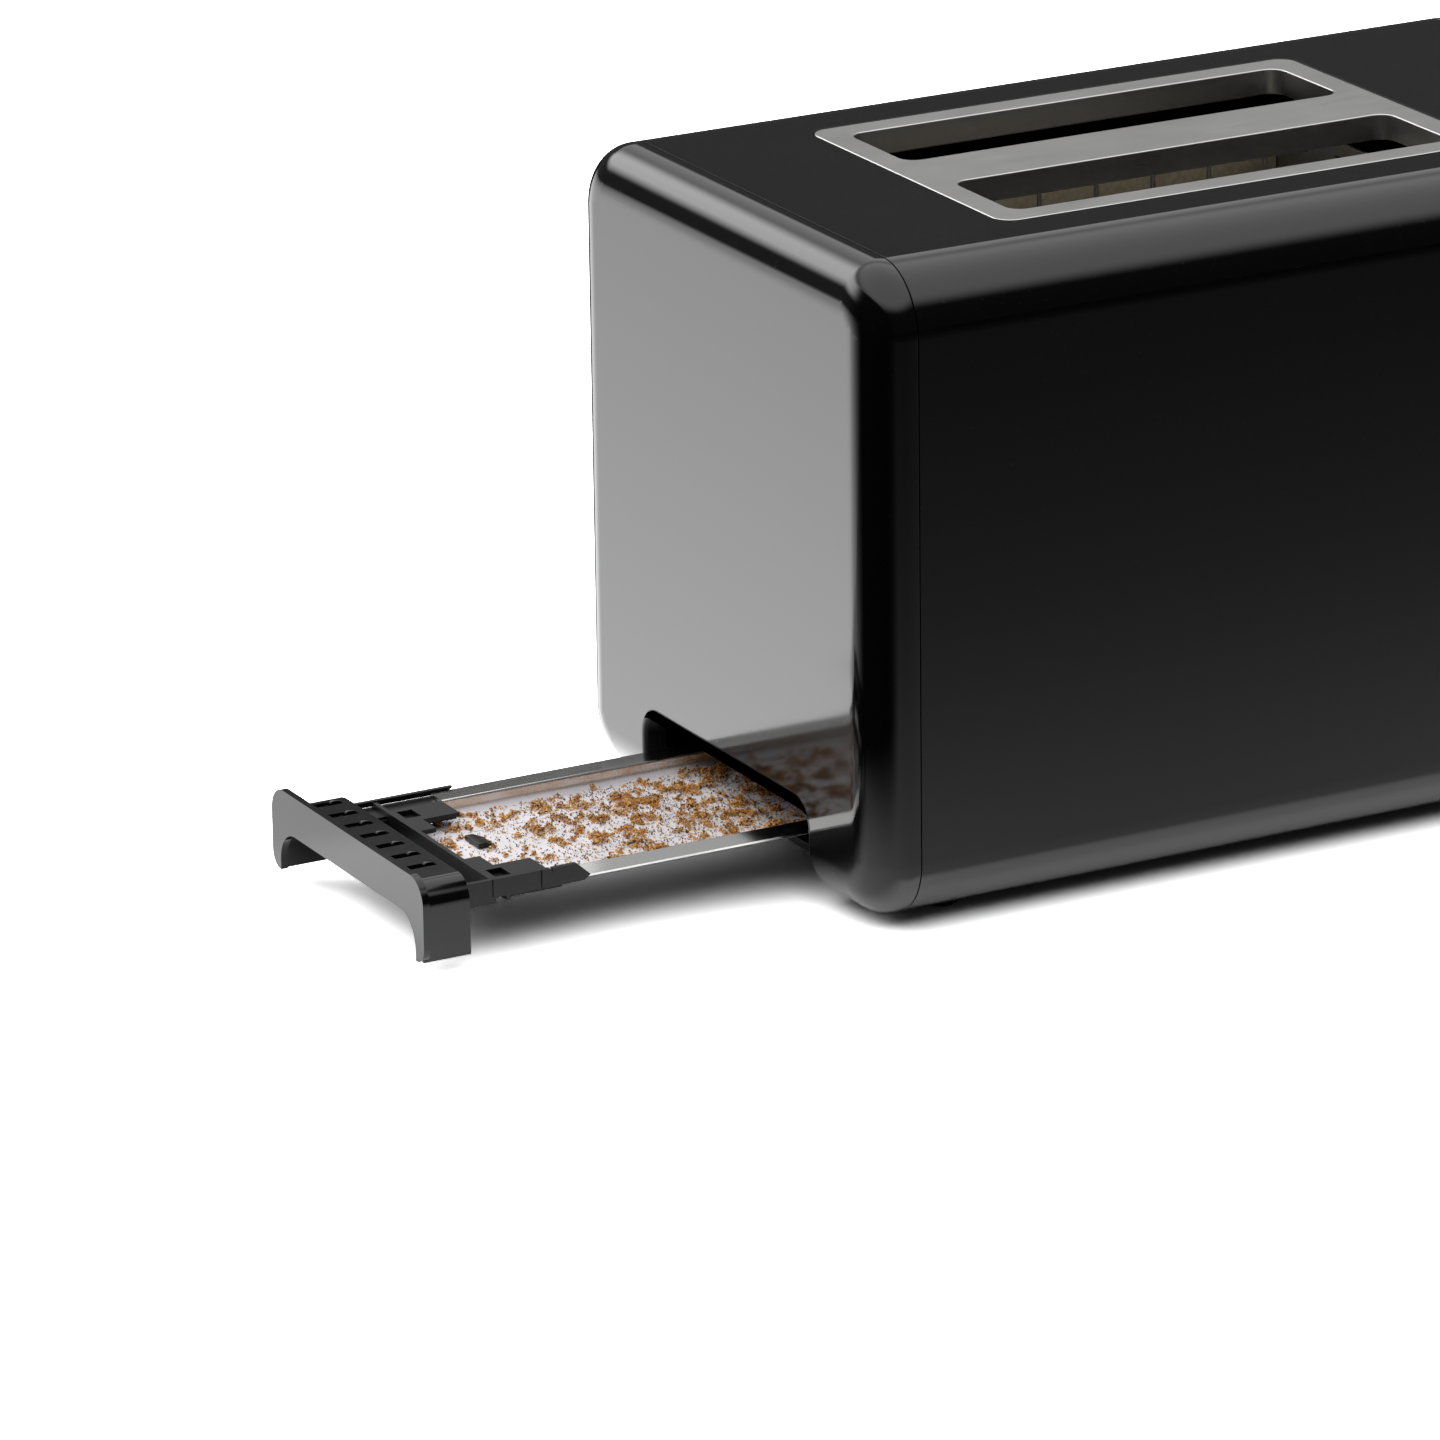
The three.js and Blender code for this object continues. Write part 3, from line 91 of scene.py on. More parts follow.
class Value:
    """A number or colour that varies over a surface. Arithmetic on it adds Math nodes."""

    def __init__(self, network, socket):
        self.network = network
        self.socket = socket

    def reckon(self, operation, first, second):
        return self.network.node("Math", {"operation": operation}, {0: first, 1: second})

    def __add__(self, other):
        return self.reckon("ADD", self, other)

    def __sub__(self, other):
        return self.reckon("SUBTRACT", self, other)

    def __rsub__(self, other):
        return self.reckon("SUBTRACT", other, self)

    def __mul__(self, other):
        return self.reckon("MULTIPLY", self, other)

    def __truediv__(self, other):
        return self.reckon("DIVIDE", self, other)

    def __rtruediv__(self, other):
        return self.reckon("DIVIDE", other, self)

    def __pow__(self, other):
        return self.reckon("POWER", self, other)

    __radd__ = __add__
    __rmul__ = __mul__


class Network:
    """The nodes of one material, or of the room."""

    def __init__(self, tree):
        self.tree = tree
        tree.nodes.clear()

    def node(self, kind, settings=None, sockets=None, output=0):
        made = self.tree.nodes.new("ShaderNode" + kind)
        for name, value in (settings or {}).items():
            if name == "stops":
                ramp = made.color_ramp.elements
                while len(ramp) < len(value):
                    ramp.new(1)
                for element, (position, colour) in zip(ramp, value):
                    element.position = position
                    element.color = (*colour, 1)
            else:
                setattr(made, name, value)
        for name, value in (sockets or {}).items():
            if isinstance(value, Value):
                self.tree.links.new(value.socket, made.inputs[name])
            else:
                made.inputs[name].default_value = value
        return Value(self, made.outputs[output]) if made.outputs else made

    def smooth(self, value, low, high):
        """0 below low, 1 above high, smooth between."""
        return self.node(
            "MapRange",
            {"interpolation_type": "SMOOTHSTEP"},
            {0: value, "From Min": low, "From Max": high},
        )

    def size_of(self, value):
        """The value without its sign."""
        return self.node("Math", {"operation": "ABSOLUTE"}, {0: value})

    def place(self):
        return self.node("TexCoord", output="Object")

    def split(self, vector):
        made = self.node("SeparateXYZ", None, {0: vector}).socket.node
        return [Value(self, socket) for socket in made.outputs]

    def noise(self, size, detail=2.0, stretch=(1, 1, 1), distortion=0.0):
        """Soft patches about size metres across."""
        stretched = self.node("Mapping", None, {"Vector": self.place(), "Scale": stretch})
        return self.node(
            "TexNoise",
            None,
            {"Vector": stretched, "Scale": 1 / size, "Detail": detail, "Distortion": distortion},
        )

    def grains(self, size):
        """Cells about size metres across: how far a point is from the nearest middle."""
        return self.node("TexVoronoi", None, {"Vector": self.place(), "Scale": 1 / size})

    def mix(self, share, first, second):
        """A colour from first at 0 to second at 1."""
        full = [c if isinstance(c, Value) else (*c, 1) for c in (first, second)]
        return self.node(
            "Mix",
            {"data_type": "RGBA"},
            {0: share, 6: full[0], 7: full[1]},
            output=2,
        )

    def bump(self, height, depth, strength=1.0):
        """A surface whose height varies by about depth metres."""
        return self.node("Bump", None, {"Height": height, "Distance": depth, "Strength": strength})


SCREEN_TURN = math.radians(122)


def room_level(room):
    """How bright the room is in each direction: dim walls, a strip behind, a white screen to the left
    behind, and a wide light overhead."""
    x, y, z = room.split(room.node("TexCoord", output="Generated"))
    overhead = room.smooth(z, 0.5, 0.75)
    strip = room.smooth(z, 0.335, 0.385) * room.smooth(z, 0.64, 0.5) * room.smooth(y, -0.1, 0.35)
    turned_left = (y * math.sin(SCREEN_TURN) + x * math.cos(SCREEN_TURN)) / (1 - z * z) ** 0.5
    screen = room.smooth(turned_left, 0.8, 0.95) * room.smooth(z, 0.22, 0.36) * room.smooth(z, 0.62, 0.5)
    walls = 0.03 + 0.09 * room.smooth(y, -0.2, 0.3)
    return walls + 1.2 * strip + 4.0 * screen + 2.0 * overhead


world = bpy.data.worlds.new("room")
bpy.context.scene.world = world
world.use_nodes = True
room = Network(world.node_tree)
background = room.node("Background", None, {"Strength": room_level(room)})
room.node("OutputWorld", None, {"Surface": background})


def new_object(name, bm):
    """Turns a bmesh into an object."""
    mesh = bpy.data.meshes.new(name)
    bm.to_mesh(mesh)
    bm.free()
    made = bpy.data.objects.new(name, mesh)
    bpy.context.scene.collection.objects.link(made)
    return made


def new_material(name):
    """A material and its network."""
    material = bpy.data.materials.new(name)
    material.use_nodes = True
    return material, Network(material.node_tree)


def surface(network, **values):
    """Ends a material's network in a Principled shader with these values."""
    names = {name.replace("_", " ").title().replace("Ior", "IOR"): v for name, v in values.items()}
    shader = network.node("BsdfPrincipled", None, names)
    network.node("OutputMaterial", None, {"Surface": shader})


def table_top():
    """White table: three times white to the camera, and dim to bounced light. To gloss rays it shows
    painted
    reflections: a white glow to the left and behind in place of a screen, a grey that falls off to the
    front and back, a brighter patch by the tray and a highlight strip in front of the body."""
    material, net = new_material("table_white")
    x, y, _ = net.split(net.place())
    # Painted reflections for gloss rays: a white glow to the left and behind stands in for a screen, dimmed
    # where the handle's front sees it, and a brighter painted patch lies by the tray.
    left = net.smooth(x, -0.09, -0.105)
    white = left * net.smooth(y, 0.055, 0.085)
    by_tray = left * net.smooth(y, -0.075, -0.05)
    by_handle = net.smooth(x, -0.212, -0.232) * net.smooth(y, 0.15, 0.12)
    distance = ((x + 0.1) ** 2 + (y + 0.09) ** 2) ** 0.5
    screen = white * (1 - 0.46 * by_handle) * 3.9 / (1 + 0.65 * distance)
    # A painted highlight strip just in front of the body for its bottom fillet to reflect, on a painted
    # grey reflection that falls off to the front and back.
    painted_fillet_highlight = net.smooth(x, -0.11, -0.09) * net.smooth(net.size_of(y), 0.114, 0.104)
    grey = 0.9 / (0.45 + 30 * y * y) + 1.3 * painted_fillet_highlight
    path = net.node("LightPath").socket.node.outputs
    bounces = Value(net, path["Diffuse Depth"])
    straight = 1 - net.node("Math", {"operation": "MINIMUM"}, {0: bounces, 1: 1.0})
    in_gloss = Value(net, path["Is Glossy Ray"]) * straight
    seen = Value(net, path["Is Camera Ray"])
    shown = (grey * (1 - by_tray) + 1.9 * by_tray) * (1 - white)
    # To the camera the table is three times white and to bounced light dim; gloss rays see the painted
    # reflections.
    level = (0.1 + 3.0 * seen) * (1 - in_gloss) + shown * in_gloss
    white_and_painted_reflections = net.node("BsdfDiffuse", None, {"Color": level})
    # This glow is emission that only gloss rays see: a painted reflection, not a lamp.
    painted_screen_reflection = net.node("Emission", None, {"Strength": screen * in_gloss})
    both = net.node("AddShader", None, {0: white_and_painted_reflections, 1: painted_screen_reflection})
    net.node("OutputMaterial", None, {"Surface": both})
    return material


def black_flag():
    """A black sheet that only gloss sees: it paints a dark reflection on the body's corner, and fades to
    nothing at its edges and foot so the painted band is soft.
    """
    material, net = new_material("flag_black")
    _, y, z = net.split(net.place())
    black_sheet = net.node("BsdfDiffuse", None, {"Color": (0.0, 0.0, 0.0, 1)})
    nothing = net.node("BsdfTransparent")
    edge = net.smooth(y, -0.04, -0.075) * net.smooth(y, -0.2, -0.12) * net.smooth(z, 0.0, 0.05)
    edge_faded_sheet = net.node("MixShader", None, {0: edge, 1: nothing, 2: black_sheet})
    net.node("OutputMaterial", None, {"Surface": edge_faded_sheet})
    return material


table = bmesh.new()
bmesh.ops.create_grid(table, x_segments=1, y_segments=1, size=30)
floor = new_object("floor", table)
floor.data.materials.append(table_top())

# The flag stands beside the tray, where only the gloss of the body's corner sees it: a painted reflection
# that makes the dark band down the near corner.
black_sheet = bmesh.new()
bmesh.ops.create_grid(black_sheet, x_segments=1, y_segments=1, size=0.5)
hung = Matrix.Translation((-0.13, -0.12, 0.11)) @ Matrix.Diagonal((1, 0.16, 0.22, 1))
bmesh.ops.transform(black_sheet, verts=black_sheet.verts, matrix=hung @ Matrix.Rotation(math.pi / 2, 4, "Y"))
flag = new_object("flag", black_sheet)
flag.data.materials.append(black_flag())
flag.visible_camera = False
flag.visible_diffuse = False
flag.visible_shadow = False
flag.visible_transmission = False


# ---------- Body ----------
# The body is three mouldings of glossy black plastic: a long sleeve and a cap on each end. The caps' skirts
# plug into the sleeve, and a fine seam shows where they meet.

CORNER_RADIUS = 20 * MM
END_FILLET = 13 * MM  # along X
FACE_MARGIN = 15 * MM  # the same edge, measured across the end face
WALL = 2.4 * MM

tray_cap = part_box("end_cap_tray")
control_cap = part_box("end_cap_control")
sleeve_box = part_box("outer_sleeve")
body_low = tray_cap[0].copy()
body_high = control_cap[1].copy()
body_middle = (body_low + body_high) / 2
body_size = body_high - body_low


def gloss_black():
    """Piano-black plastic: a very faint ripple of the moulding, and fine haze where it has been wiped."""
    material, net = new_material("gloss_black")
    haze = net.noise(35 * MM, 4)
    dust = net.smooth(net.noise(1.1 * MM, 1), 0.69, 0.78)
    ripple = net.noise(9 * MM, 1)
    surface(
        net,
        base_color=net.mix(dust * 0.25, (0.003, 0.003, 0.0034), (0.025, 0.025, 0.027)),
        roughness=0.055 + 0.06 * haze + 0.12 * dust,
        ior=1.5,
        normal=net.bump(ripple, 0.006 * MM, 0.5),
    )
    return material


GLOSS_BLACK = gloss_black()


def one_noise(name, noise, colours, roughness, depth, strength=1.0, **values):
    """A material that one noise varies: its colour, its roughness (base and range) and its height."""
    material, net = new_material(name)
    grain = net.noise(*noise)
    surface(
        net,
        base_color=net.mix(grain, *colours),
        roughness=roughness[0] + roughness[1] * grain,
        normal=net.bump(grain, depth, strength),
        **values,
    )
    return material


def bevel(bm, parts, offset, segments, affect="EDGES"):
    """Rounds edges or corners of a bmesh."""
    bmesh.ops.bevel(
        bm,
        geom=parts,
        offset=offset,
        offset_type="OFFSET",
        segments=segments,
        profile=0.5,
        affect=affect,
        clamp_overlap=False,
        material=-1,
    )


def body_form():
    """The body's outer form: long edges round, and end edges wider across the face than along X."""
    bm = bmesh.new()
    stretch = FACE_MARGIN / END_FILLET
    size = Vector((body_size.x * stretch, body_size.y, body_size.z))
    bmesh.ops.create_cube(bm, size=1, matrix=Matrix.Diagonal((*size, 1)))
    long_edges = [e for e in bm.edges if abs(e.verts[0].co.x - e.verts[1].co.x) > MM]
    bevel(bm, long_edges, CORNER_RADIUS, 18)
    end = size.x / 2 - MM
    rims = [e for e in bm.edges if all(abs(v.co.x) > end for v in e.verts)]
    rims = [e for e in rims if e.verts[0].co.x * e.verts[1].co.x > 0]
    bevel(bm, rims, FACE_MARGIN, 18)
    bmesh.ops.remove_doubles(bm, verts=bm.verts, dist=0.01 * MM)
    bmesh.ops.scale(bm, verts=bm.verts, vec=(1 / stretch, 1, 1))
    bmesh.ops.translate(bm, verts=bm.verts, vec=body_middle)
    bmesh.ops.recalc_face_normals(bm, faces=bm.faces)
    return bm


def sliced(bm, x, keep_low):
    """Cuts a bmesh at x and keeps one side, open at the cut."""
    normal = (1, 0, 0) if keep_low else (-1, 0, 0)
    everything = bm.verts[:] + bm.edges[:] + bm.faces[:]
    bmesh.ops.bisect_plane(bm, geom=everything, plane_co=(x, 0, 0), plane_no=normal, clear_outer=True)


def settled(piece):
    """Applies a piece's modifiers to its mesh."""
    graph = bpy.context.evaluated_depsgraph_get()
    mesh = bpy.data.meshes.new_from_object(piece.evaluated_get(graph))
    old = piece.data
    piece.modifiers.clear()
    piece.data = mesh
    bpy.data.meshes.remove(old)
    return piece


def walled(piece, thickness):
    """Gives an open skin a wall on its inner side."""
    wall = piece.modifiers.new("wall", "SOLIDIFY")
    wall.thickness = thickness
    wall.offset = -1
    wall.use_even_offset = True
    return settled(piece)


def combined(piece, operation, others):
    """Joins other pieces to one, or cuts them from it, and removes them."""
    for other in others:
        step = piece.modifiers.new("step", "BOOLEAN")
        step.operation = operation
        step.object = other
        step.solver = "EXACT"
    settled(piece)
    for other in others:
        bpy.data.objects.remove(other)
    return piece


def cleaned(piece):
    """Merges what a boolean leaves double, and joins faces that lie in one plane."""
    bm = bmesh.new()
    bm.from_mesh(piece.data)
    bmesh.ops.remove_doubles(bm, verts=bm.verts, dist=0.02 * MM)
    bmesh.ops.dissolve_limit(bm, angle_limit=math.radians(0.6), verts=bm.verts, edges=bm.edges)
    bm.to_mesh(piece.data)
    bm.free()
    return piece


def prism(corners, axis, low, high, radii=0.0, segments=8):
    """A solid of one outline along an axis. Corners are in the order of the other two axes, and radii holds
    one radius for all of them or one each."""
    order = {
        "X": lambda u, v: (low, u, v),
        "Y": lambda u, v: (u, low, v),
        "Z": lambda u, v: (u, v, low),
    }[axis]
    each = radii if isinstance(radii, (list, tuple)) else [radii] * len(corners)
    bm = bmesh.new()
    verts = [bm.verts.new(order(*corner)) for corner in corners]
    bm.faces.new(verts)
    for radius in sorted(set(each) - {0.0}):
        bevel(bm, [v for v, r in zip(verts, each) if r == radius], radius, segments, "VERTICES")
    made = bmesh.ops.extrude_face_region(bm, geom=bm.faces[:])["geom"]
    reach = Vector([high - low if name == axis else 0 for name in "XYZ"])
    bmesh.ops.translate(bm, verts=[g for g in made if isinstance(g, bmesh.types.BMVert)], vec=reach)
    bmesh.ops.recalc_face_normals(bm, faces=bm.faces)
    return new_object("prism", bm)


def rectangle(u0, u1, v0, v1):
    """The corners of a rectangle, in order round it."""
    return [(u0, v0), (u1, v0), (u1, v1), (u0, v1)]


def turned(profile, axis, place, segments=48):
    """A body turned about an axis through a place. The profile is pairs of radius and distance along."""
    bm = bmesh.new()
    verts = [bm.verts.new((radius, 0, along)) for radius, along in profile]
    edges = [bm.edges.new(pair) for pair in zip(verts, verts[1:])]
    bmesh.ops.spin(
        bm,
        geom=verts + edges,
        cent=(0, 0, 0),
        axis=(0, 0, 1),
        angle=math.tau,
        steps=segments,
        use_merge=True,
    )
    bmesh.ops.remove_doubles(bm, verts=bm.verts, dist=0.005 * MM)
    if axis == "X":
        bmesh.ops.rotate(bm, verts=bm.verts, cent=(0, 0, 0), matrix=Matrix.Rotation(math.pi / 2, 3, "Y"))
    bmesh.ops.translate(bm, verts=bm.verts, vec=place)
    bmesh.ops.recalc_face_normals(bm, faces=bm.faces)
    return new_object("turned", bm)


def finished(piece, name, material, body, nodes=(), edge=0.0, segments=2, sharp=38):
    """Rounds a piece's sharp edges, smooths its shading, and fixes it to its body."""
    piece.name = name
    piece.data.name = name
    piece.data.materials.clear()
    piece.data.materials.append(material)
    for polygon in piece.data.polygons:
        polygon.use_smooth = True
        polygon.material_index = 0
    if edge:
        rounding = piece.modifiers.new("rounding", "BEVEL")
        rounding.width = edge
        rounding.segments = segments
        rounding.limit_method = "ANGLE"
        rounding.angle_limit = math.radians(sharp)
        rounding.miter_outer = "MITER_ARC"
        settled(piece)
    piece.data.set_sharp_from_angle(angle=math.radians(sharp))
    shading = piece.modifiers.new("shading", "WEIGHTED_NORMAL")
    shading.keep_sharp = True
    shading.weight = 50
    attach(piece, body)
    if nodes:
        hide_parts(*nodes)
    return piece


DOOR_CLEARANCE = 0.6 * MM
DOOR_RADIUS = 8 * MM
DOOR_LIP = 1.5 * MM  # the edge is rolled this much
DOOR_STEP = 0.35 * MM  # the doorway narrows this much behind its lip
DOOR_STEP_AT = 4.7 * MM  # behind the end face
DOOR_FRAME = 1.7 * MM
DOOR_FRAME_DEPTH = 7 * MM

handle_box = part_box("tray_handle")
door_half = handle_box[1].y + DOOR_CLEARANCE
door_top = handle_box[1].z + 1.6 * DOOR_CLEARANCE


def doorway(grow, x0, x1):
    """The doorway as a solid, from x0 to x1 behind the end face."""
    half = door_half + grow
    corners = rectangle(-half, half, -5 * MM, door_top + grow)
    radius = DOOR_RADIUS + grow
    return prism(corners, "X", body_low.x + x0, body_low.x + x1, [0.0, 0.0, radius, radius], 14)


form = body_form()
sliced(form, sleeve_box[0].x - 0.3 * MM, True)
cap = walled(new_object("cap", form), WALL)
combined(cap, "DIFFERENCE", [doorway(DOOR_FRAME, -2 * MM, 30 * MM)])
cap_nodes = ["end_cap_tray"]
finished(cleaned(cap), "tray_end_cap", GLOSS_BLACK, "housing", cap_nodes, 0.25 * MM)


# The doorway is lined by a frame, flush with the end face, whose inner edge is rolled. Its black plastic is
# left dull from the mould, with a fine grain.
SOFT_BLACK = one_noise(
    "soft_black",
    (0.3 * MM, 2),
    ((0.002, 0.002, 0.002), (0.005, 0.005, 0.005)),
    (0.28, 0.15),
    0.005 * MM,
    0.5,
    specular_ior_level=0.25,
)
frame_ring = doorway(DOOR_FRAME - 0.05 * MM, -2 * MM, DOOR_FRAME_DEPTH)
combined(frame_ring, "INTERSECT", [new_object("form", body_form())])
inner_cuts = [doorway(0, -3 * MM, DOOR_STEP_AT), doorway(-DOOR_STEP, 0, 2 * DOOR_FRAME_DEPTH)]
combined(frame_ring, "DIFFERENCE", inner_cuts)


def rolled_doorway(piece):
    """Rounds the doorway's outer edge."""
    bm = bmesh.new()
    bm.from_mesh(piece.data)

    def at_lip(vert):
        x, y, z = vert.co
        low_down = max(0.0, body_low.z + FACE_MARGIN - z) / FACE_MARGIN
        skin = body_low.x + END_FILLET * (1 - math.sqrt(max(0.0, 1 - low_down**2)))
        return x < skin + MM and abs(y) < door_half + 0.05 * MM and z < door_top + 0.05 * MM

    rim = [e for e in bm.edges if len(e.link_faces) == 2 and all(at_lip(v) for v in e.verts)]
    bevel(bm, [e for e in rim if e.calc_face_angle() > math.radians(40)], DOOR_LIP, 8)
    bm.to_mesh(piece.data)
    bm.free()
    return piece


frame_ring = rolled_doorway(cleaned(frame_ring))
finished(frame_ring, "doorway_frame", SOFT_BLACK, "housing")

SKIRT_GAP = 0.3 * MM
SKIRT_WALL = 1.6 * MM


def inner_skirt(x0, x1):
    """The tongue of a cap inside the sleeve: what shows through the fine seam."""
    inset = WALL + SKIRT_GAP
    half, low, high = body_high.y - inset, body_low.z + inset, body_high.z - inset
    outer = prism(rectangle(-half, half, low, high), "X", x0, x1, CORNER_RADIUS - inset, 10)
    hole = rectangle(-half + SKIRT_WALL, half - SKIRT_WALL, low - 9 * MM, high - SKIRT_WALL)
    return combined(outer, "DIFFERENCE", [prism(hole, "X", x0 - MM, x1 + MM, 0.0)])


for name, seam in (("tray_cap_skirt", sleeve_box[0].x), ("control_cap_skirt", sleeve_box[1].x)):
    skirt = inner_skirt(seam - 4 * MM, seam + 4 * MM)
    finished(cleaned(skirt), name, GLOSS_BLACK, "housing")

BEZEL_RADIUS = 6 * MM

bezel_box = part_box("slot_bezel")
base_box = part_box("base_plate")
BEZEL_FLANGE = 4 * MM
bezel_face = (
    bezel_box[0].x + BEZEL_FLANGE,
    bezel_box[1].x - BEZEL_FLANGE,
    bezel_box[0].y + BEZEL_FLANGE,
    bezel_box[1].y - BEZEL_FLANGE,
)


def grown(box, by):
    """A rectangle wider than a box of four sides, by so much on each."""
    return rectangle(box[0] - by, box[1] + by, box[2] - by, box[3] + by)


form = body_form()
sliced(form, sleeve_box[1].x, True)
sliced(form, sleeve_box[0].x, False)
sleeve = walled(new_object("sleeve", form), WALL)
base_half = base_box[1].y + 0.3 * MM
underside = prism(rectangle(-0.3, 0.3, -base_half, base_half), "Z", -0.1, base_box[1].z)
top_hole = prism(grown(bezel_face, 0.3 * MM), "Z", 0.15, 0.25, BEZEL_RADIUS + 0.3 * MM)
combined(sleeve, "DIFFERENCE", [underside, top_hole])
sleeve = cleaned(sleeve)
finished(sleeve, "sleeve", GLOSS_BLACK, "housing", ["outer_sleeve"], 0.3 * MM)

# The control cap has a tall slot for the lever's arm, a hole for the dial's shaft, three button holes and
# the cord's hole.

LEVER_ROOM = 1.8 * MM
lift_low, lift_high = next(j["range_m"] for j in frame["joints"] if j["name"] == "lift_slide")
arm_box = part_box("lever_arm")
dial_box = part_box("browning_dial")
shaft_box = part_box("dial_shaft")
BUTTONS = ("defrost_button", "reheat_button", "stop_button")
grommet_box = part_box("cord_grommet")


def middle(box):
    return (box[0] + box[1]) / 2


def rod_x(radius, x0, x1, at, segments=40):
    """A round rod along X through a place."""
    profile = [(0, x0), (radius, x0), (radius, x1), (0, x1)]
    return turned(profile, "X", (0, at.y, at.z), segments)


form = body_form()
sliced(form, sleeve_box[1].x + 0.3 * MM, False)
cap = walled(new_object("cap", form), WALL)
face = body_high.x
through = (face - 12 * MM, face + 5 * MM)
arm_half = 1.2 * MM + LEVER_ROOM
arm_low = arm_box[1].z - 8 * MM + lift_low - LEVER_ROOM
arm_high = arm_box[1].z + lift_high + LEVER_ROOM
lever_y = middle(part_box("lever_knob")).y
slot_outline = rectangle(lever_y - arm_half, lever_y + arm_half, arm_low, arm_high)
holes = [
    prism(slot_outline, "X", *through, arm_half * 0.98, 10),
    rod_x(4 * MM, *through, middle(dial_box)),
    rod_x((grommet_box[1].y - grommet_box[0].y) / 2 - 1.7 * MM, *through, middle(grommet_box)),
]
button_radius = (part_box(BUTTONS[0])[1].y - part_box(BUTTONS[0])[0].y) / 2
holes += [rod_x(button_radius + 0.3 * MM, *through, middle(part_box(name))) for name in BUTTONS]
combined(cap, "DIFFERENCE", holes)
cap = cleaned(cap)
cap_nodes = ["end_cap_control"]
finished(cap, "control_end_cap", GLOSS_BLACK, "housing", cap_nodes, 0.5 * MM, 3)


# ---------- Bread slot bezel ----------
# A pressed stainless frame let into the top, with two round-ended slots whose edges roll down into the
# chamber. The steel is brushed along its length.

SLOT_RADIUS = 5 * MM
COLLAR_WALL = 1 * MM


def brushed_steel(name, lightness, grain_depth, stains=0.0):
    """Stainless sheet with fine lines along X, and heat tint where it is stained."""
    material, net = new_material(name)
    lines = net.noise(0.35 * MM, 3, (0.02, 1, 1))
    cloud = net.noise(28 * MM, 4)
    tint = net.smooth(cloud, 0.45, 0.75) * stains
    bright = (lightness, lightness * 0.995, lightness * 0.98)
    surface(
        net,
        base_color=net.mix(tint, bright, (lightness * 0.62, lightness * 0.5, lightness * 0.36)),
        metallic=1.0,
        roughness=0.2 + 0.16 * lines + 0.08 * cloud,
        normal=net.bump(lines, grain_depth),
    )
    return material


BEZEL_STEEL = brushed_steel("bezel_steel", 0.5, 0.01 * MM)
guard_boxes = [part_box(f"bread_guard_{i}") for i in range(1, 5)]
GUARD_INSET = 0.5 * MM  # from the slot's edge to the wire's outer side
slot_ends = [bezel_face[0] + 9 * MM, bezel_face[1] - 9 * MM]
slots = [
    (*slot_ends, near[0].y - GUARD_INSET, far[1].y + GUARD_INSET)
    for near, far in (guard_boxes[0:2], guard_boxes[2:4])
]
bezel = prism(grown(bezel_face, 0), "Z", bezel_box[1].z - 3 * MM, bezel_box[1].z, BEZEL_RADIUS, 10)
collars = [
    prism(grown(slot, COLLAR_WALL), "Z", bezel_box[0].z, bezel_box[1].z - MM, SLOT_RADIUS + COLLAR_WALL, 10)
    for slot in slots
]
combined(bezel, "UNION", collars)
combined(bezel, "DIFFERENCE", [prism(grown(slot, 0), "Z", 0.1, 0.3, SLOT_RADIUS, 10) for slot in slots])
finished(
    cleaned(bezel), "bread_slot_bezel", BEZEL_STEEL, "housing", ["slot_bezel"], 0.45 * MM, 3
)


# ---------- Base ----------
# The base plate is a satin black moulding with two rows of vents. Four rubber feet plug into it, and four
# cross-head screws hold the end frames' tabs. The tray's rails stand on it.


def merged(node):
    """A merged copy of a frame node's solid, with flat faces whole."""
    bm = bmesh.new()
    bm.from_mesh(NODES[node].data)
    bmesh.ops.remove_doubles(bm, verts=bm.verts, dist=0.002 * MM)
    bmesh.ops.dissolve_limit(bm, angle_limit=math.radians(0.5), verts=bm.verts, edges=bm.edges)
    return new_object(node, bm)


def from_solid(node, name, material, body, edge=0.0, segments=2):
    """A node's own solid, merged, with its edges rounded."""
    return finished(merged(node), name, material, body, [node], edge, segments)


def satin_black():
    """Black plastic with a fine spark-eroded grain and slight rubbing."""
    material, net = new_material("satin_black")
    grain = net.noise(0.22 * MM, 2)
    rubbed = net.smooth(net.noise(14 * MM, 5), 0.5, 0.75)
    surface(
        net,
        base_color=net.mix(rubbed, (0.004, 0.004, 0.0045), (0.008, 0.008, 0.009)),
        roughness=0.3 + 0.1 * grain - 0.05 * rubbed,
        specular_ior_level=0.4,
        normal=net.bump(grain, 0.004 * MM, 0.6),
    )
    return material


SATIN_BLACK = satin_black()

# Rubber is matt, with fine speckle. Nylon is smooth, with slight mottling from the mould.
SPECKLED = ((0.012, 0.012, 0.012), (0.03, 0.029, 0.028))
MOTTLED = ((0.012, 0.012, 0.013), (0.022, 0.022, 0.023))
RUBBER = one_noise("foot_rubber", (0.5 * MM, 3), SPECKLED, (0.72, 0.2), 0.02 * MM)
DARK_NYLON = one_noise("dark_nylon", (2.5 * MM, 4), MOTTLED, (0.5, 0.15), 0.01 * MM)

from_solid("base_plate", "base", SATIN_BLACK, "housing", 0.3 * MM)
for name in ("tray_rail_front", "tray_rail_rear"):
    from_solid(name, name + "_moulding", DARK_NYLON, "housing", 0.25 * MM)

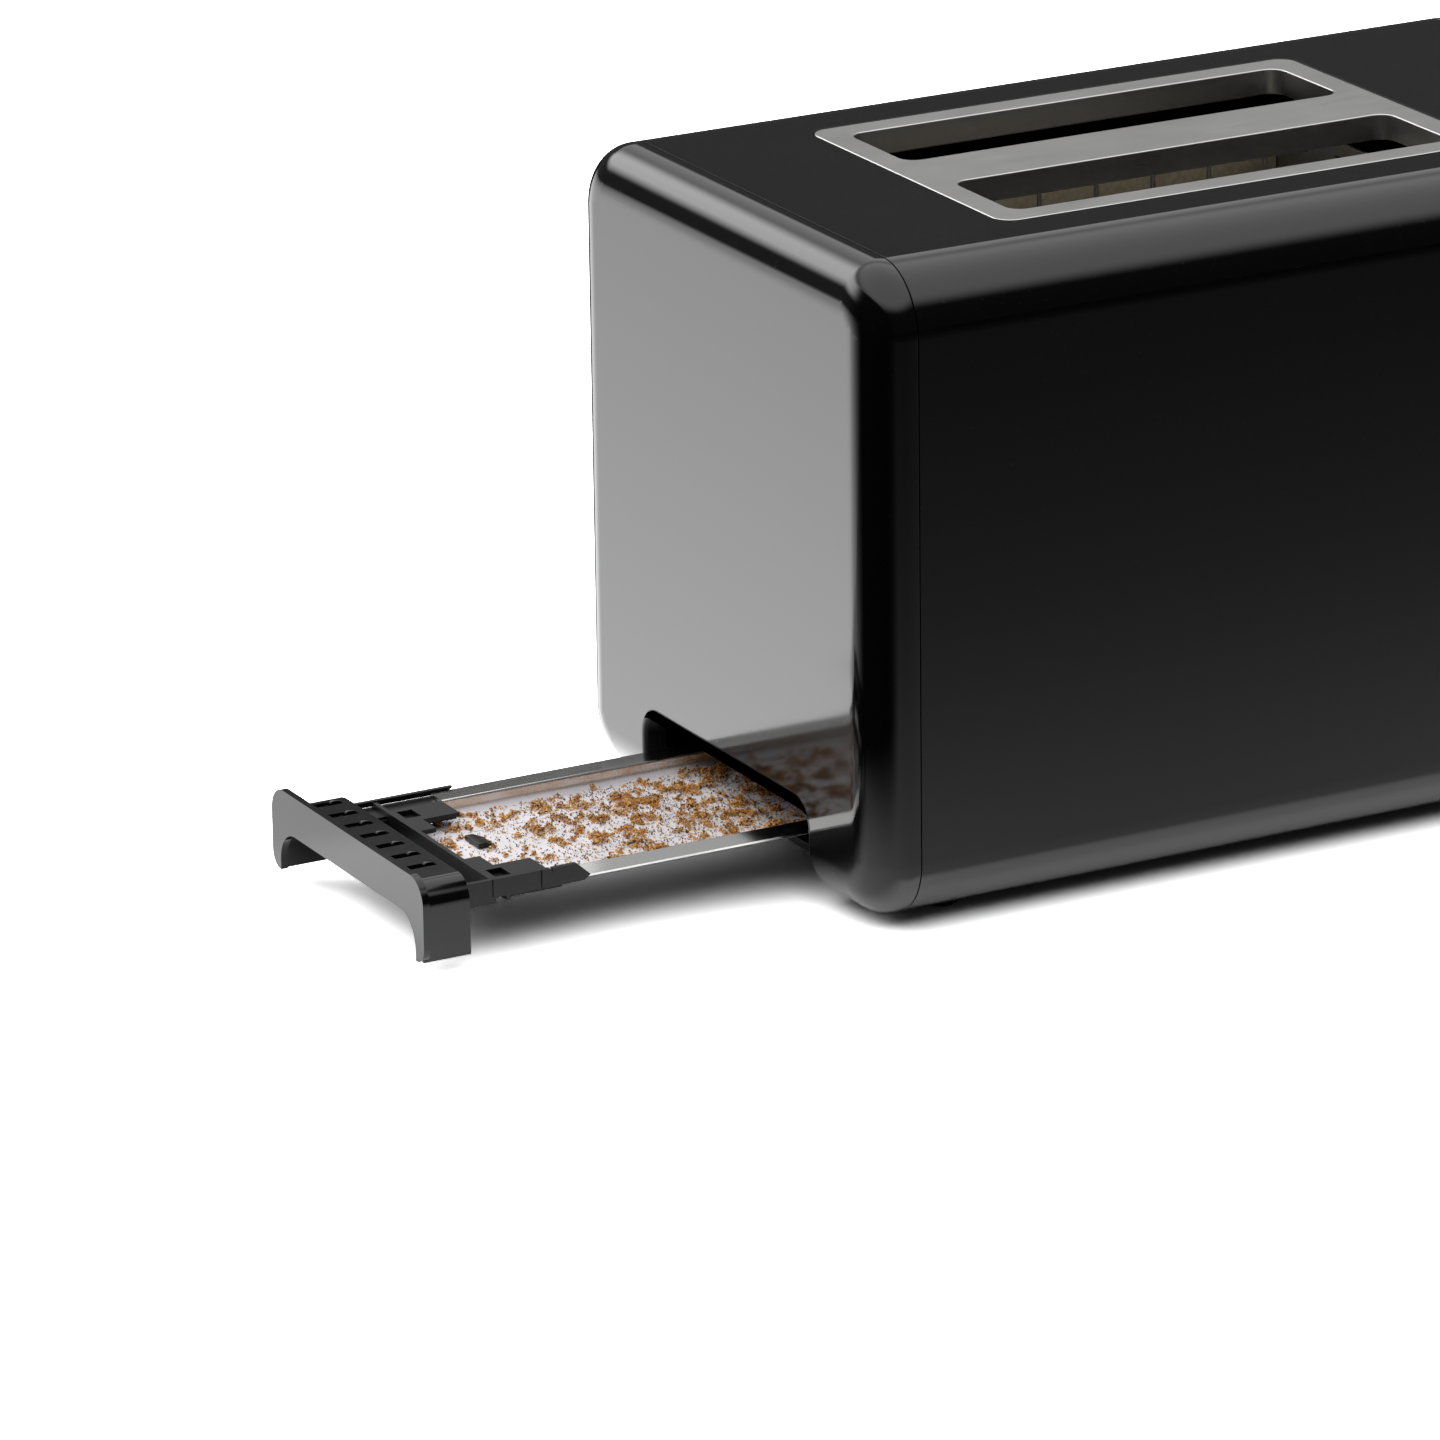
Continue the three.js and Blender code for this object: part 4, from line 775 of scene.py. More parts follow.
for i in range(1, 5):
    low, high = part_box(f"foot_{i}")
    radius = (high.x - low.x) / 2
    foot_height = body_low.z - 0.3 * MM
    profile = [
        (0, 0.5 * MM),
        (radius - 2.6 * MM, 0.5 * MM),
        (radius - 2.2 * MM, 0),
        (radius - 0.8 * MM, 0),
        (radius - 0.2 * MM, 0.4 * MM),
        (radius, 1 * MM),
        (radius, foot_height),
        (3 * MM, foot_height),
        (3 * MM, high.z),
        (0, high.z),
    ]
    foot = turned(profile, "Z", (middle((low, high)).x, middle((low, high)).y, 0))
    finished(foot, f"rubber_foot_{i}", RUBBER, "housing", [f"foot_{i}"])


def steel_wire(name, lightness):
    """Plain drawn or turned steel: fine lengthwise scratches and a slight patina."""
    material, net = new_material(name)
    patina = net.noise(6 * MM, 5)
    scratches = net.noise(0.3 * MM, 2, (1, 1, 0.1))
    surface(
        net,
        base_color=net.mix(
            patina,
            (lightness * 0.8, lightness * 0.79, lightness * 0.77),
            (lightness, lightness, lightness * 0.99),
        ),
        metallic=1.0,
        roughness=0.22 + 0.2 * scratches + 0.1 * patina,
        normal=net.bump(scratches, 0.006 * MM),
    )
    return material


SPRING_STEEL = steel_wire("spring_steel", 0.45)
for i in range(1, 5):
    low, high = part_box(f"base_screw_{i}")
    centre = middle((low, high))
    head = (high.x - low.x) / 2
    shank = head / 2
    head_top = low.z + 0.8 * MM
    profile = [
        (0, low.z),
        (head - 0.9 * MM, low.z),
        (head - 0.1 * MM, low.z + 0.4 * MM),
        (head, head_top),
        (shank, head_top),
        (shank, high.z - MM),
        (0, high.z),
    ]
    screw = turned(profile, "Z", (centre.x, centre.y, 0), 32)
    cross = []
    for length, width in ((1.7 * MM, 0.35 * MM), (0.35 * MM, 1.7 * MM)):
        outline = rectangle(centre.x - length, centre.x + length, centre.y - width, centre.y + width)
        cross.append(prism(outline, "Z", low.z - MM, low.z + 0.6 * MM))
    combined(screw, "DIFFERENCE", cross)
    name = f"cross_head_screw_{i}"
    finished(cleaned(screw), name, SPRING_STEEL, "housing", [f"base_screw_{i}"])


# ---------- Crumb tray handle ----------
# A glossy black hood with a thin front plate that stands proud all round. Two legs and an arch make room
# for fingers. Seven vents run back through the top, each wide in front and half as wide behind.

PLATE = 2.2 * MM
PLATE_PROUD = 2.4 * MM
HANDLE_WALL = 2.2 * MM
SHELF_RADII = [0.0, 0.0, 16 * MM, 7 * MM]
ARCH_TOP = 17.7 * MM
ARCH_RADIUS = 10 * MM
LEG_WIDTH = 5.4 * MM
LEG_RADIUS = 5 * MM
VENT_PITCH = 10.2 * MM
VENT_START = 4.6 * MM
VENT_MIDDLE = 10 * MM
VENT_END = 13.6 * MM
VENT_WIDTH = 3.2 * MM

front = handle_box[0].x
handle_half = handle_box[1].y
handle_low = handle_box[0].z
handle_top = handle_box[1].z
handle_back = handle_box[1].x


def shelf(inset, low, x0, x1):
    """The handle's body behind its plate, shrunk by an inset."""
    half = handle_half - PLATE_PROUD - inset
    radii = [max(radius - inset, 0.0) for radius in SHELF_RADII]
    corners = rectangle(-half, half, low, handle_top - PLATE_PROUD - inset)
    return prism(corners, "X", front + x0, front + x1, radii, 14)


plate_outline = rectangle(-handle_half, handle_half, handle_low, handle_top)
plate_radii = [LEG_RADIUS, LEG_RADIUS, DOOR_RADIUS, DOOR_RADIUS]
plate = prism(plate_outline, "X", front, front + PLATE, plate_radii, 14)
depth = handle_back - front
hood = shelf(0, handle_low, PLATE / 2, depth)
combined(hood, "DIFFERENCE", [shelf(HANDLE_WALL, -5 * MM, PLATE, depth + MM)])
above_arch = shelf(HANDLE_WALL / 2, ARCH_TOP, depth - HANDLE_WALL, depth)
combined(plate, "UNION", [hood])
combined(plate, "UNION", [above_arch])
arch_half = handle_half - LEG_WIDTH
arch_outline = rectangle(-arch_half, arch_half, -5 * MM, ARCH_TOP)
arch_radii = [0.0, 0.0, ARCH_RADIUS, ARCH_RADIUS]
cuts = [prism(arch_outline, "X", front - MM, front + PLATE + 0.2 * MM, arch_radii, 14)]
for i in range(-3, 4):
    y = i * VENT_PITCH
    half = VENT_WIDTH / 2
    outline = [
        (front + VENT_START, y - half),
        (front + VENT_END, y - half),
        (front + VENT_END, y),
        (front + VENT_MIDDLE, y),
        (front + VENT_MIDDLE, y + half),
        (front + VENT_START, y + half),
    ]
    cuts.append(prism(outline, "Z", ARCH_TOP + 2 * MM, handle_top + MM, 0.5 * MM, 3))
combined(plate, "DIFFERENCE", cuts)
handle = cleaned(plate)
finished(handle, "tray_grip", GLOSS_BLACK, "crumb_tray", ["tray_handle"], 0.3 * MM)

# A small raised rib stands beside the narrow part of each vent.
for i in range(-3, 4):
    y = i * VENT_PITCH
    x0, x1 = front + VENT_MIDDLE + 0.4 * MM, front + VENT_END - 0.2 * MM
    shelf_top = handle_top - PLATE_PROUD
    profile = [(x0, shelf_top - 0.3 * MM), (x1, shelf_top - 0.3 * MM), (x1, shelf_top + 0.35 * MM)]
    profile += [(x0 + MM, shelf_top + 0.55 * MM), (x0, shelf_top + 0.3 * MM)]
    rib = prism(profile, "Y", y + 0.15 * MM, y + VENT_WIDTH / 2 - 0.1 * MM)
    finished(rib, f"vent_rib_{i + 4}", GLOSS_BLACK, "crumb_tray", (), 0.2 * MM)


# ---------- Crumb tray bracket ----------
# A satin black moulding screwed behind the handle. Its side walls hook over the pan's lips, and two arms
# with square windows reach over the pan.

SEAM_WIDTH = 0.35 * MM
SEAMS_AT = (24.7 * MM, 40.4 * MM)  # behind the handle's front
NOTCH_AT = 43.4 * MM
NOTCH_WIDTH = 0.8 * MM

bracket_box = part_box("tray_bracket")
bracket = merged("tray_bracket")
near_face = bracket_box[0].y
seams = []
for along in SEAMS_AT:
    x = front + along
    outline = rectangle(x, x + SEAM_WIDTH, near_face - MM, near_face + 0.5 * MM)
    seams.append(prism(outline, "Z", 0, handle_top))
notch_x = front + NOTCH_AT
notch = rectangle(notch_x, notch_x + NOTCH_WIDTH, near_face - MM, near_face + 3 * MM)
seams.append(prism(notch, "Z", bracket_box[1].z - 1.2 * MM, handle_top))
combined(bracket, "DIFFERENCE", seams)
name = "tray_bracket_moulding"
nodes = ["tray_bracket"]
finished(cleaned(bracket), name, SATIN_BLACK, "crumb_tray", nodes, 0.22 * MM)
from_solid("pan_tooth", "snap_tooth", SATIN_BLACK, "crumb_tray", 0.2 * MM)

# Under each arm a thin web closes the corner between the cross wall and the side wall. The rear one also
# reaches forward into the corner and back along the arm's tip. The webs are partly a dark sheet put where
# there is only shade: they keep the white table from showing through the arms' windows and corners.
WEB = (18.35 * MM, 19.05 * MM)  # from the table to its underside and top
WEB_INNER = 23.6 * MM
WEB_OUTER = 43.9 * MM
for side, name in ((-1, "front"), (1, "rear")):
    inner, outer = sorted((side * WEB_INNER, side * WEB_OUTER))
    shade_web = prism(rectangle(front + 31 * MM, front + 47.6 * MM, inner, outer), "Z", *WEB)
    if side > 0:
        corner = rectangle(front + 17 * MM, front + 32 * MM, 34 * MM, WEB_OUTER)
        tip = rectangle(front + 47 * MM, front + 55.5 * MM, 38 * MM, WEB_OUTER)
        combined(shade_web, "UNION", [prism(corner, "Z", *WEB)])
        combined(shade_web, "UNION", [prism(tip, "Z", *WEB)])
    finished(cleaned(shade_web), f"bracket_shade_web_{name}", SOFT_BLACK, "crumb_tray")


# ---------- Crumb pan ----------
# A tray of bright tinned steel, folded from one sheet: flat lips that run in the rails, round bends down to
# the floor, and two shallow stiffening creases along it.

PAN_LIP = 8.6 * MM
PAN_DEPTH = 5 * MM
PAN_SHEET = 0.6 * MM
PAN_BEND = 2.6 * MM
LIP_DROP = 0.35 * MM  # the lips slope down this much to their outer edges
CREASE = 0.25 * MM
ARM_END = 32 * MM  # behind the bracket's front

pan_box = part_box("crumb_pan")
pan_half = pan_box[1].y
pan_top = pan_box[1].z
floor_half = pan_half - PAN_LIP
pan_floor = pan_top - PAN_DEPTH


def tinned_steel():
    """Bright tinned sheet with a drawn grain along X, dulled inside by fine flour."""
    material, net = new_material("tinned_steel")
    x, y, z = net.split(net.place())
    grain = net.noise(0.4 * MM, 3, (0.03, 1, 1))
    cloud = net.noise(16 * MM, 5, (0.6, 1, 1), 0.4)
    aside = net.size_of(y)
    inside = net.smooth(aside, floor_half + 0.3 * MM, floor_half - 0.5 * MM)
    flour = inside * (0.8 + 0.18 * net.smooth(cloud, 0.35, 0.6))
    from_crease = net.size_of(aside - floor_half / 2)
    broken = net.smooth(net.noise(1.4 * MM, 2), 0.4, 0.55)
    crease = inside * net.smooth(from_crease, 0.3 * MM, 0.1 * MM) * broken
    wall = inside * net.smooth(z, pan_floor + 1 * MM, pan_floor + 2.5 * MM)
    near_body = net.smooth(x, pan_box[0].x + 10 * MM, body_low.x)
    specks = wall * net.smooth(net.noise(0.5 * MM, 2), 0.62 - 0.12 * near_body, 0.68 - 0.1 * near_body)
    floured = net.mix(flour, (0.72, 0.72, 0.71), (0.88, 0.85, 0.89))
    surface(
        net,
        base_color=net.mix(0.8 * crease + 0.75 * specks, floured, (0.09, 0.06, 0.05)),
        metallic=1 - 0.92 * flour,
        roughness=0.1 + 0.12 * grain + 0.45 * flour,
        normal=net.bump(grain, 0.008 * MM),
    )
    return material


TINNED_STEEL = tinned_steel()


def folded_pan():
    """The pan's upper skin: a folded section drawn along X, with its folds rounded."""
    section = [
        (pan_half, pan_top - LIP_DROP),
        (floor_half, pan_top),
        (floor_half, pan_floor),
        (floor_half / 2, pan_floor + CREASE),
        (0, pan_floor),
    ]
    section = [(-y, z) for y, z in section[:-1]] + [(y, z) for y, z in section[::-1]]
    bm = bmesh.new()
    verts = [bm.verts.new((pan_box[0].x, y, z)) for y, z in section]
    edges = [bm.edges.new(pair) for pair in zip(verts, verts[1:])]
    ends = bmesh.ops.extrude_edge_only(bm, edges=edges)["geom"]
    run = pan_box[1].x - pan_box[0].x - PAN_SHEET
    bmesh.ops.translate(bm, verts=[g for g in ends if isinstance(g, bmesh.types.BMVert)], vec=(run, 0, 0))
    far = [v for v in bm.verts if v.co.x > pan_box[0].x + run / 2 and abs(v.co.y) < floor_half + 0.1 * MM]
    bm.verts.ensure_lookup_table()
    bmesh.ops.contextual_create(bm, geom=far)
    bmesh.ops.recalc_face_normals(bm, faces=bm.faces)
    if sum(f.normal.z * f.calc_area() for f in bm.faces) < 0:
        bmesh.ops.reverse_faces(bm, faces=bm.faces)
    lines = [e for e in bm.edges if len(e.link_faces) == 2]
    folds = [e for e in lines if e.calc_face_angle() > math.radians(30)]
    low_folds = [e for e in folds if all(v.co.z < pan_floor + MM for v in e.verts)]
    low_folds = [e for e in low_folds if abs(e.verts[0].co.y - e.verts[1].co.y) < MM]
    bevel(bm, low_folds, PAN_BEND, 8)
    lines = [e for e in bm.edges if len(e.link_faces) == 2 and e.is_valid]
    high_folds = [e for e in lines if all(abs(v.co.z - pan_top) < 0.01 * MM for v in e.verts)]
    high_folds = [e for e in high_folds if abs(e.verts[0].co.y - e.verts[1].co.y) < MM]
    bevel(bm, high_folds, 0.7 * MM, 4)
    return new_object("pan", bm)


pan = walled(folded_pan(), PAN_SHEET)
bracket_end = bracket_box[0].x + ARM_END
flat = floor_half - PAN_BEND - 1.2 * MM
clearings = []
for side in (-1, 1):
    inner, outer = sorted((side * flat, side * (pan_half + MM)))
    outline = rectangle(pan_box[0].x - MM, bracket_end, inner, outer)
    clearings.append(prism(outline, "Z", 0, pan_top + MM))
tooth_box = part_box("pan_tooth")
window = rectangle(tooth_box[0].x + MM, tooth_box[1].x - MM, tooth_box[0].y + MM, tooth_box[1].y - MM)
clearings.append(prism(window, "Z", 0, pan_top))
combined(pan, "DIFFERENCE", clearings)
pan = cleaned(pan)
finished(pan, "steel_crumb_pan", TINNED_STEEL, "crumb_tray", ["crumb_pan"], sharp=30)


# ---------- Crumbs ----------
# Toast crumbs lie on the pan's floor: golden flakes of crust, brown bits, and fine dark specks, thickest
# under the bread slots and thin near the handle.

CRUMB_RUN = (pan_box[0].x + 3 * MM, pan_box[1].x - 4 * MM)
CRUMB_HALF = floor_half - 1.5 * MM


def toast(name, dark, light, patch):
    """Toasted crumb: colour in patches from dark to light, with a rough open crumb."""
    material, net = new_material(name)
    patches = net.noise(patch, 3)
    pores = net.noise(0.35 * MM, 3)
    toned = net.smooth(patches, 0.36, 0.62)
    surface(
        net,
        base_color=net.mix(pores * 0.25, net.mix(toned, dark, light), dark),
        roughness=0.75,
        normal=net.bump(pores, 0.25 * MM),
    )
    return material


def grain_shapes(rng, count, rough):
    """Prototype grains one metre across, each a ball of twenty faces with its points pushed in and out."""
    shapes = []
    for _ in range(count):
        bm = bmesh.new()
        bmesh.ops.create_icosphere(bm, subdivisions=1, radius=0.5)
        for vert in bm.verts:
            vert.co *= 1 + rng.uniform(-rough, rough)
        mesh = bpy.data.meshes.new("grain")
        bm.to_mesh(mesh)
        bm.free()
        shapes.append(mesh)
    return shapes


def crumb_spot(rng, thin):
    """A place on the pan's floor. Crumbs thin out towards the handle."""
    while True:
        run = rng.random()
        if rng.random() < thin + (1 - thin) * run:
            break
    x = CRUMB_RUN[0] + (CRUMB_RUN[1] - CRUMB_RUN[0]) * run
    return x, rng.uniform(-CRUMB_HALF, CRUMB_HALF)


def heap(rng, length, width, height, grains):
    """Grains of one bigger crumb, as offsets from its middle."""
    turn = rng.uniform(0, math.tau)
    bend = rng.uniform(-0.35, 0.35)
    for _ in range(grains):
        u = rng.gauss(0, 0.42)
        v = rng.gauss(0, 0.42)
        along = u * length / 2
        across = v * width / 2 + bend * u * u * length / 2
        rise = height * max(0.0, 1 - u * u - v * v) * rng.random()
        yield (
            along * math.cos(turn) - across * math.sin(turn),
            along * math.sin(turn) + across * math.cos(turn),
            rise,
        )


GRAIN_SHAPES = grain_shapes(random.Random(3), 12, 0.4)


def crumb_piece(name, material, rng, grains):
    """One object of many grains, each given as x, y, height above the floor and size."""
    bm = bmesh.new()
    for x, y, rise, size in grains:
        if abs(y) > CRUMB_HALF + 0.8 * MM or not CRUMB_RUN[0] < x < CRUMB_RUN[1]:
            continue
        fold = max(0.0, 1 - abs(abs(y) - floor_half / 2) / (floor_half / 2)) * CREASE
        bend = max(0.0, abs(y) - (floor_half - PAN_BEND))
        foot = pan_floor + max(fold, PAN_BEND - math.sqrt(PAN_BEND**2 - bend**2)) + rise
        thickness = size * rng.uniform(0.5, 0.95)
        move = Matrix.Translation((x, y, foot + thickness * 0.42))
        turn = Matrix.Rotation(rng.uniform(0, math.tau), 4, "Z")
        tilt = Matrix.Rotation(rng.gauss(0, 0.2), 4, "X")
        stretch = Matrix.Diagonal((size, size * rng.uniform(0.55, 1), thickness, 1))
        place = move @ turn @ tilt @ stretch
        shape = GRAIN_SHAPES[rng.randrange(len(GRAIN_SHAPES))]
        shape.transform(place)
        bm.from_mesh(shape)
        shape.transform(place.inverted())
    piece = new_object(name, bm)
    piece.data.materials.append(material)
    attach(piece, "crumb_tray")
    return piece


GOLDEN = toast("golden_crust", (0.62, 0.23, 0.03), (0.98, 0.6, 0.19), 1.6 * MM)
BROWN = toast("brown_crumb", (0.1, 0.035, 0.009), (0.5, 0.22, 0.055), 1.2 * MM)
DARK = toast("dark_specks", (0.008, 0.005, 0.003), (0.06, 0.03, 0.012), 1.5 * MM)
PALE = toast("pale_crumb", (0.55, 0.4, 0.23), (0.85, 0.74, 0.55), 1.2 * MM)

HEAPS = 760
SHARES = ((0.66, "golden"), (0.84, "brown"), (0.97, "pale"), (math.inf, "dark"))
LOOSE = (("golden", 2400, 1.0), ("brown", 3600, 0.7), ("dark", 3800, 0.6), ("pale", 5200, 0.9))

rng = random.Random(7)
grains = {"golden": [], "brown": [], "dark": [], "pale": []}
for _ in range(HEAPS):
    x, y = crumb_spot(rng, 0.22)
    length = rng.uniform(2.2, 4.5) * MM + rng.random() ** 4 * 6 * MM
    width = length * rng.uniform(0.3, 0.6)
    toasted = rng.random()
    for dx, dy, rise in heap(rng, length, width, 1.3 * MM, int(6 + length / MM * width / MM * 3.4)):
        pick = rng.random() + 0.25 * (toasted - 0.5)
        kind = next(kind for below, kind in SHARES if pick < below)
        grains[kind].append((x + dx, y + dy, rise, rng.uniform(0.35, 0.8) * MM))
for kind, count, largest in LOOSE:
    for _ in range(count):
        x, y = crumb_spot(rng, 0.2)
        grains[kind].append((x, y, 0, (0.3 + (largest - 0.3) * rng.random() ** 1.7) * MM))
# The golden crumbs make two pieces, so that neither has too many faces.
crumb_piece("golden_crumbs", GOLDEN, rng, grains["golden"][::2])
crumb_piece("golden_crumbs_more", GOLDEN, rng, grains["golden"][1::2])
crumb_piece("brown_crumbs", BROWN, rng, grains["brown"])
crumb_piece("dark_crumbs", DARK, rng, grains["dark"])
crumb_piece("pale_crumbs", PALE, rng, grains["pale"])
for shape in GRAIN_SHAPES:
    bpy.data.meshes.remove(shape)


# ---------- Toasting chamber ----------
# Zinc-plated frames and shields hold four mica boards wound with flat heating ribbon. A guard of welded
# wire stands in front of each board.


def zinc_sheet():
    """Zinc-plated sheet: soft grey spangle with a faint warm cast from heat."""
    material, net = new_material("zinc_sheet")
    spangle = net.grains(7 * MM)
    warm = net.smooth(net.noise(30 * MM, 3), 0.45, 0.75)
    surface(
        net,
        base_color=net.mix(warm, (0.4, 0.41, 0.42), (0.36, 0.32, 0.26)),
        metallic=1.0,
        roughness=0.34 + 0.2 * spangle,
        normal=net.bump(spangle, 0.01 * MM),
    )
    return material


def mica():
    """Mica board: pale brown flakes pressed flat, with a slight gloss."""
    material, net = new_material("mica_board")
    flakes = net.grains(1.8 * MM)
    cloud = net.noise(12 * MM, 4)
    surface(
        net,
        base_color=net.mix(flakes * 0.6 + cloud * 0.4, (0.42, 0.36, 0.26), (0.24, 0.19, 0.12)),
        roughness=0.45 + 0.3 * flakes,
        normal=net.bump(flakes, 0.05 * MM),
    )
    return material


ZINC = zinc_sheet()
MICA = mica()
OXIDE = ((0.12, 0.1, 0.09), (0.2, 0.2, 0.23))  # grey-brown, with bluish patches
RIBBON = one_noise("heating_ribbon", (3 * MM, 4), OXIDE, (0.45, 0.2), 0.02 * MM, metallic=0.9)
GUARD_STEEL = steel_wire("guard_steel", 0.6)

for name in ("end_frame_tray", "end_frame_control", "heat_shield_front", "heat_shield_rear", "rod_holder"):
    from_solid(name, name + "_sheet", ZINC, "housing", 0.15 * MM, 1)


def coated(node, material):
    """Gives a carried-over node its material."""
    NODES[node].data.materials.clear()
    NODES[node].data.materials.append(material)


for i in range(1, 5):
    coated(f"heater_board_{i}", MICA)
    coated(f"heater_ribbon_{i}", RIBBON)


def straight_wire(points, radius):
    """A round wire between two points."""
    curve = bpy.data.curves.new("wire", "CURVE")
    curve.dimensions = "3D"
    curve.bevel_depth = radius
    curve.bevel_resolution = 2
    curve.use_fill_caps = True
    spline = curve.splines.new("POLY")
    spline.points.add(len(points) - 1)
    for point, at in zip(spline.points, points):
        point.co = (*at, 1)
    piece = bpy.data.objects.new("wire", curve)
    bpy.context.scene.collection.objects.link(piece)
    mesh = bpy.data.meshes.new_from_object(piece.evaluated_get(bpy.context.evaluated_depsgraph_get()))
    bpy.data.objects.remove(piece)
    bpy.data.curves.remove(curve)
    return mesh


def wire_frame(runs):
    """One object of several wires."""
    bm = bmesh.new()
    for points, radius in runs:
        mesh = straight_wire(points, radius)
        bm.from_mesh(mesh)
        bpy.data.meshes.remove(mesh)
    bmesh.ops.remove_doubles(bm, verts=bm.verts, dist=0.001 * MM)
    bmesh.ops.recalc_face_normals(bm, faces=bm.faces)
    return new_object("wires", bm)


GUARD_WIRE = 1 * MM
GUARD_WIRES = 8
GUARD_MARGIN = 15 * MM  # rod end to the first upright
for i, (low, high) in enumerate(guard_boxes, 1):
    y = (low.y + high.y) / 2
    z = (low.z + GUARD_WIRE, high.z - GUARD_WIRE)
    runs = [([(low.x, y, level), (high.x, y, level)], GUARD_WIRE) for level in z]
    pitch = (high.x - low.x - 2 * GUARD_MARGIN) / (GUARD_WIRES - 1)
    for w in range(GUARD_WIRES):
        x = low.x + GUARD_MARGIN + w * pitch
        runs.append(([(x, y, z[0]), (x, y, z[1])], 0.8 * GUARD_WIRE))
    name = f"bread_guard_{i}"
    finished(wire_frame(runs), f"wire_guard_{i}", GUARD_STEEL, f"guard_{i}", [name])


# ---------- Lift ----------
# Two pressed steel lifts with cross pins hang on a zinc-plated carriage. It slides on a round rod in a
# nylon bush, pushed up by a coil spring, and the lever's arm reaches out through the control cap.

for name in ("bread_lift_front", "bread_lift_rear"):
    from_solid(name, name + "_pressing", GUARD_STEEL, "carriage", 0.2 * MM)
for name in ("carriage_plate", "lever_arm"):
    from_solid(name, name + "_pressing", ZINC, "carriage", 0.25 * MM)
from_solid("carriage_bush", "nylon_bush", DARK_NYLON, "carriage")
from_solid("magnet_armature", "armature", SPRING_STEEL, "carriage", 0.2 * MM)

rod_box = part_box("guide_rod")
rod_radius = (rod_box[1].x - rod_box[0].x) / 2
ROD_CHAMFER = 0.4 * MM
rod_profile = [
    (0, rod_box[0].z),
    (rod_radius - ROD_CHAMFER, rod_box[0].z),
    (rod_radius, rod_box[0].z + ROD_CHAMFER),
    (rod_radius, rod_box[1].z - ROD_CHAMFER),
    (rod_radius - ROD_CHAMFER, rod_box[1].z),
    (0, rod_box[1].z),
]
rod = turned(rod_profile, "Z", (middle(rod_box).x, middle(rod_box).y, 0))
finished(rod, "polished_rod", SPRING_STEEL, "housing", ["guide_rod"])

# The real spring is shorter when the lift is down; here it keeps one length. The share of its length left
# under the bush with the lift down is worked out but not used.
spring_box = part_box("return_spring")
bush_down = min(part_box("carriage_bush")[0].z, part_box("carriage_plate")[0].z) + lift_low
spring_share = (bush_down - 0.5 * MM - spring_box[0].z) / (spring_box[1].z - spring_box[0].z)
spring = from_solid("return_spring", "coil_spring", SPRING_STEEL, "housing")
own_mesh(spring)

# The lever's knob is a rounded bar of the body's black plastic, dished along its top for a finger.
DISH_RADIUS = 34 * MM
DISH_DEPTH = 1.6 * MM
knob_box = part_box("lever_knob")
knob_size = knob_box[1] - knob_box[0]
knob_bm = bmesh.new()
bmesh.ops.create_cube(knob_bm, size=1, matrix=Matrix.Diagonal((*knob_size, 1)))
bmesh.ops.translate(knob_bm, verts=knob_bm.verts, vec=middle(knob_box))
along_x = [e for e in knob_bm.edges if abs(e.verts[0].co.x - e.verts[1].co.x) > MM]
bevel(knob_bm, along_x, 5.6 * MM, 10)
knob = new_object("knob", knob_bm)
dish_profile = [(0, -9 * MM), (DISH_RADIUS, -9 * MM), (DISH_RADIUS, 9 * MM), (0, 9 * MM)]
dish = turned(dish_profile, "X", (0, 0, 0), 96)
dish_at = (middle(knob_box).x + 2 * MM, middle(knob_box).y, knob_box[1].z + DISH_RADIUS - DISH_DEPTH)
dish.data.transform(Matrix.Translation(dish_at))
arm_socket = rectangle(knob_box[0].x - MM, arm_box[1].x + 0.3 * MM, lever_y - 1.5 * MM, lever_y + 1.5 * MM)
socket = prism(arm_socket, "Z", arm_box[1].z - 8.3 * MM, arm_box[1].z + 0.3 * MM)
combined(knob, "DIFFERENCE", [dish, socket])
knob = cleaned(knob)
finished(knob, "lever_grip", GLOSS_BLACK, "carriage", ["lever_knob"], 1.2 * MM, 4)


# ---------- Electromagnet and circuit ----------
# The magnet that holds the lift down is a steel yoke with a wound coil. The circuit board carries the
# browning regulator and the three switches behind the buttons.


def winding():
    """Enamelled copper wire wound in close turns."""
    material, net = new_material("copper_winding")
    _, _, z = net.split(net.place())
    # The same waves shape the turns and colour them: the grooves between turns are painted darker and the
    # crowns lighter, painted shade mixed with a random tone.
    turns = net.node("Math", {"operation": "SINE"}, {0: z * (math.tau / (0.3 * MM))})
    cloud = net.noise(2 * MM, 2)
    surface(
        net,
        base_color=net.mix(turns * 0.5 + 0.5 * cloud, (0.2, 0.06, 0.02), (0.55, 0.22, 0.08)),
        metallic=0.8,
        roughness=0.3 + 0.15 * cloud,
        normal=net.bump(turns, 0.06 * MM),
    )
    return material


def board_green():
    """Green solder mask over fine copper tracks."""
    material, net = new_material("circuit_green")
    cells = net.node("TexBrick", None, {"Vector": net.place(), "Scale": 180.0}, output="Fac")
    cloud = net.noise(5 * MM, 3)
    surface(
        net,
        base_color=net.mix(cells * 0.6 + 0.2 * cloud, (0.01, 0.07, 0.035), (0.05, 0.2, 0.09)),
        roughness=0.35 + 0.2 * cloud,
        normal=net.bump(cells, 0.03 * MM),
    )
    return material


from_solid("magnet_core", "magnet_yoke", SPRING_STEEL, "housing", 0.2 * MM)
from_solid("magnet_coil", "coil_winding", winding(), "housing")
from_solid("circuit_board", "control_board", board_green(), "housing")
from_solid("browning_regulator", "regulator_case", ZINC, "housing", 0.3 * MM)
for name in ("defrost_switch", "reheat_switch", "stop_switch"):
    from_solid(name, name + "_case", DARK_NYLON, "housing", 0.3 * MM)


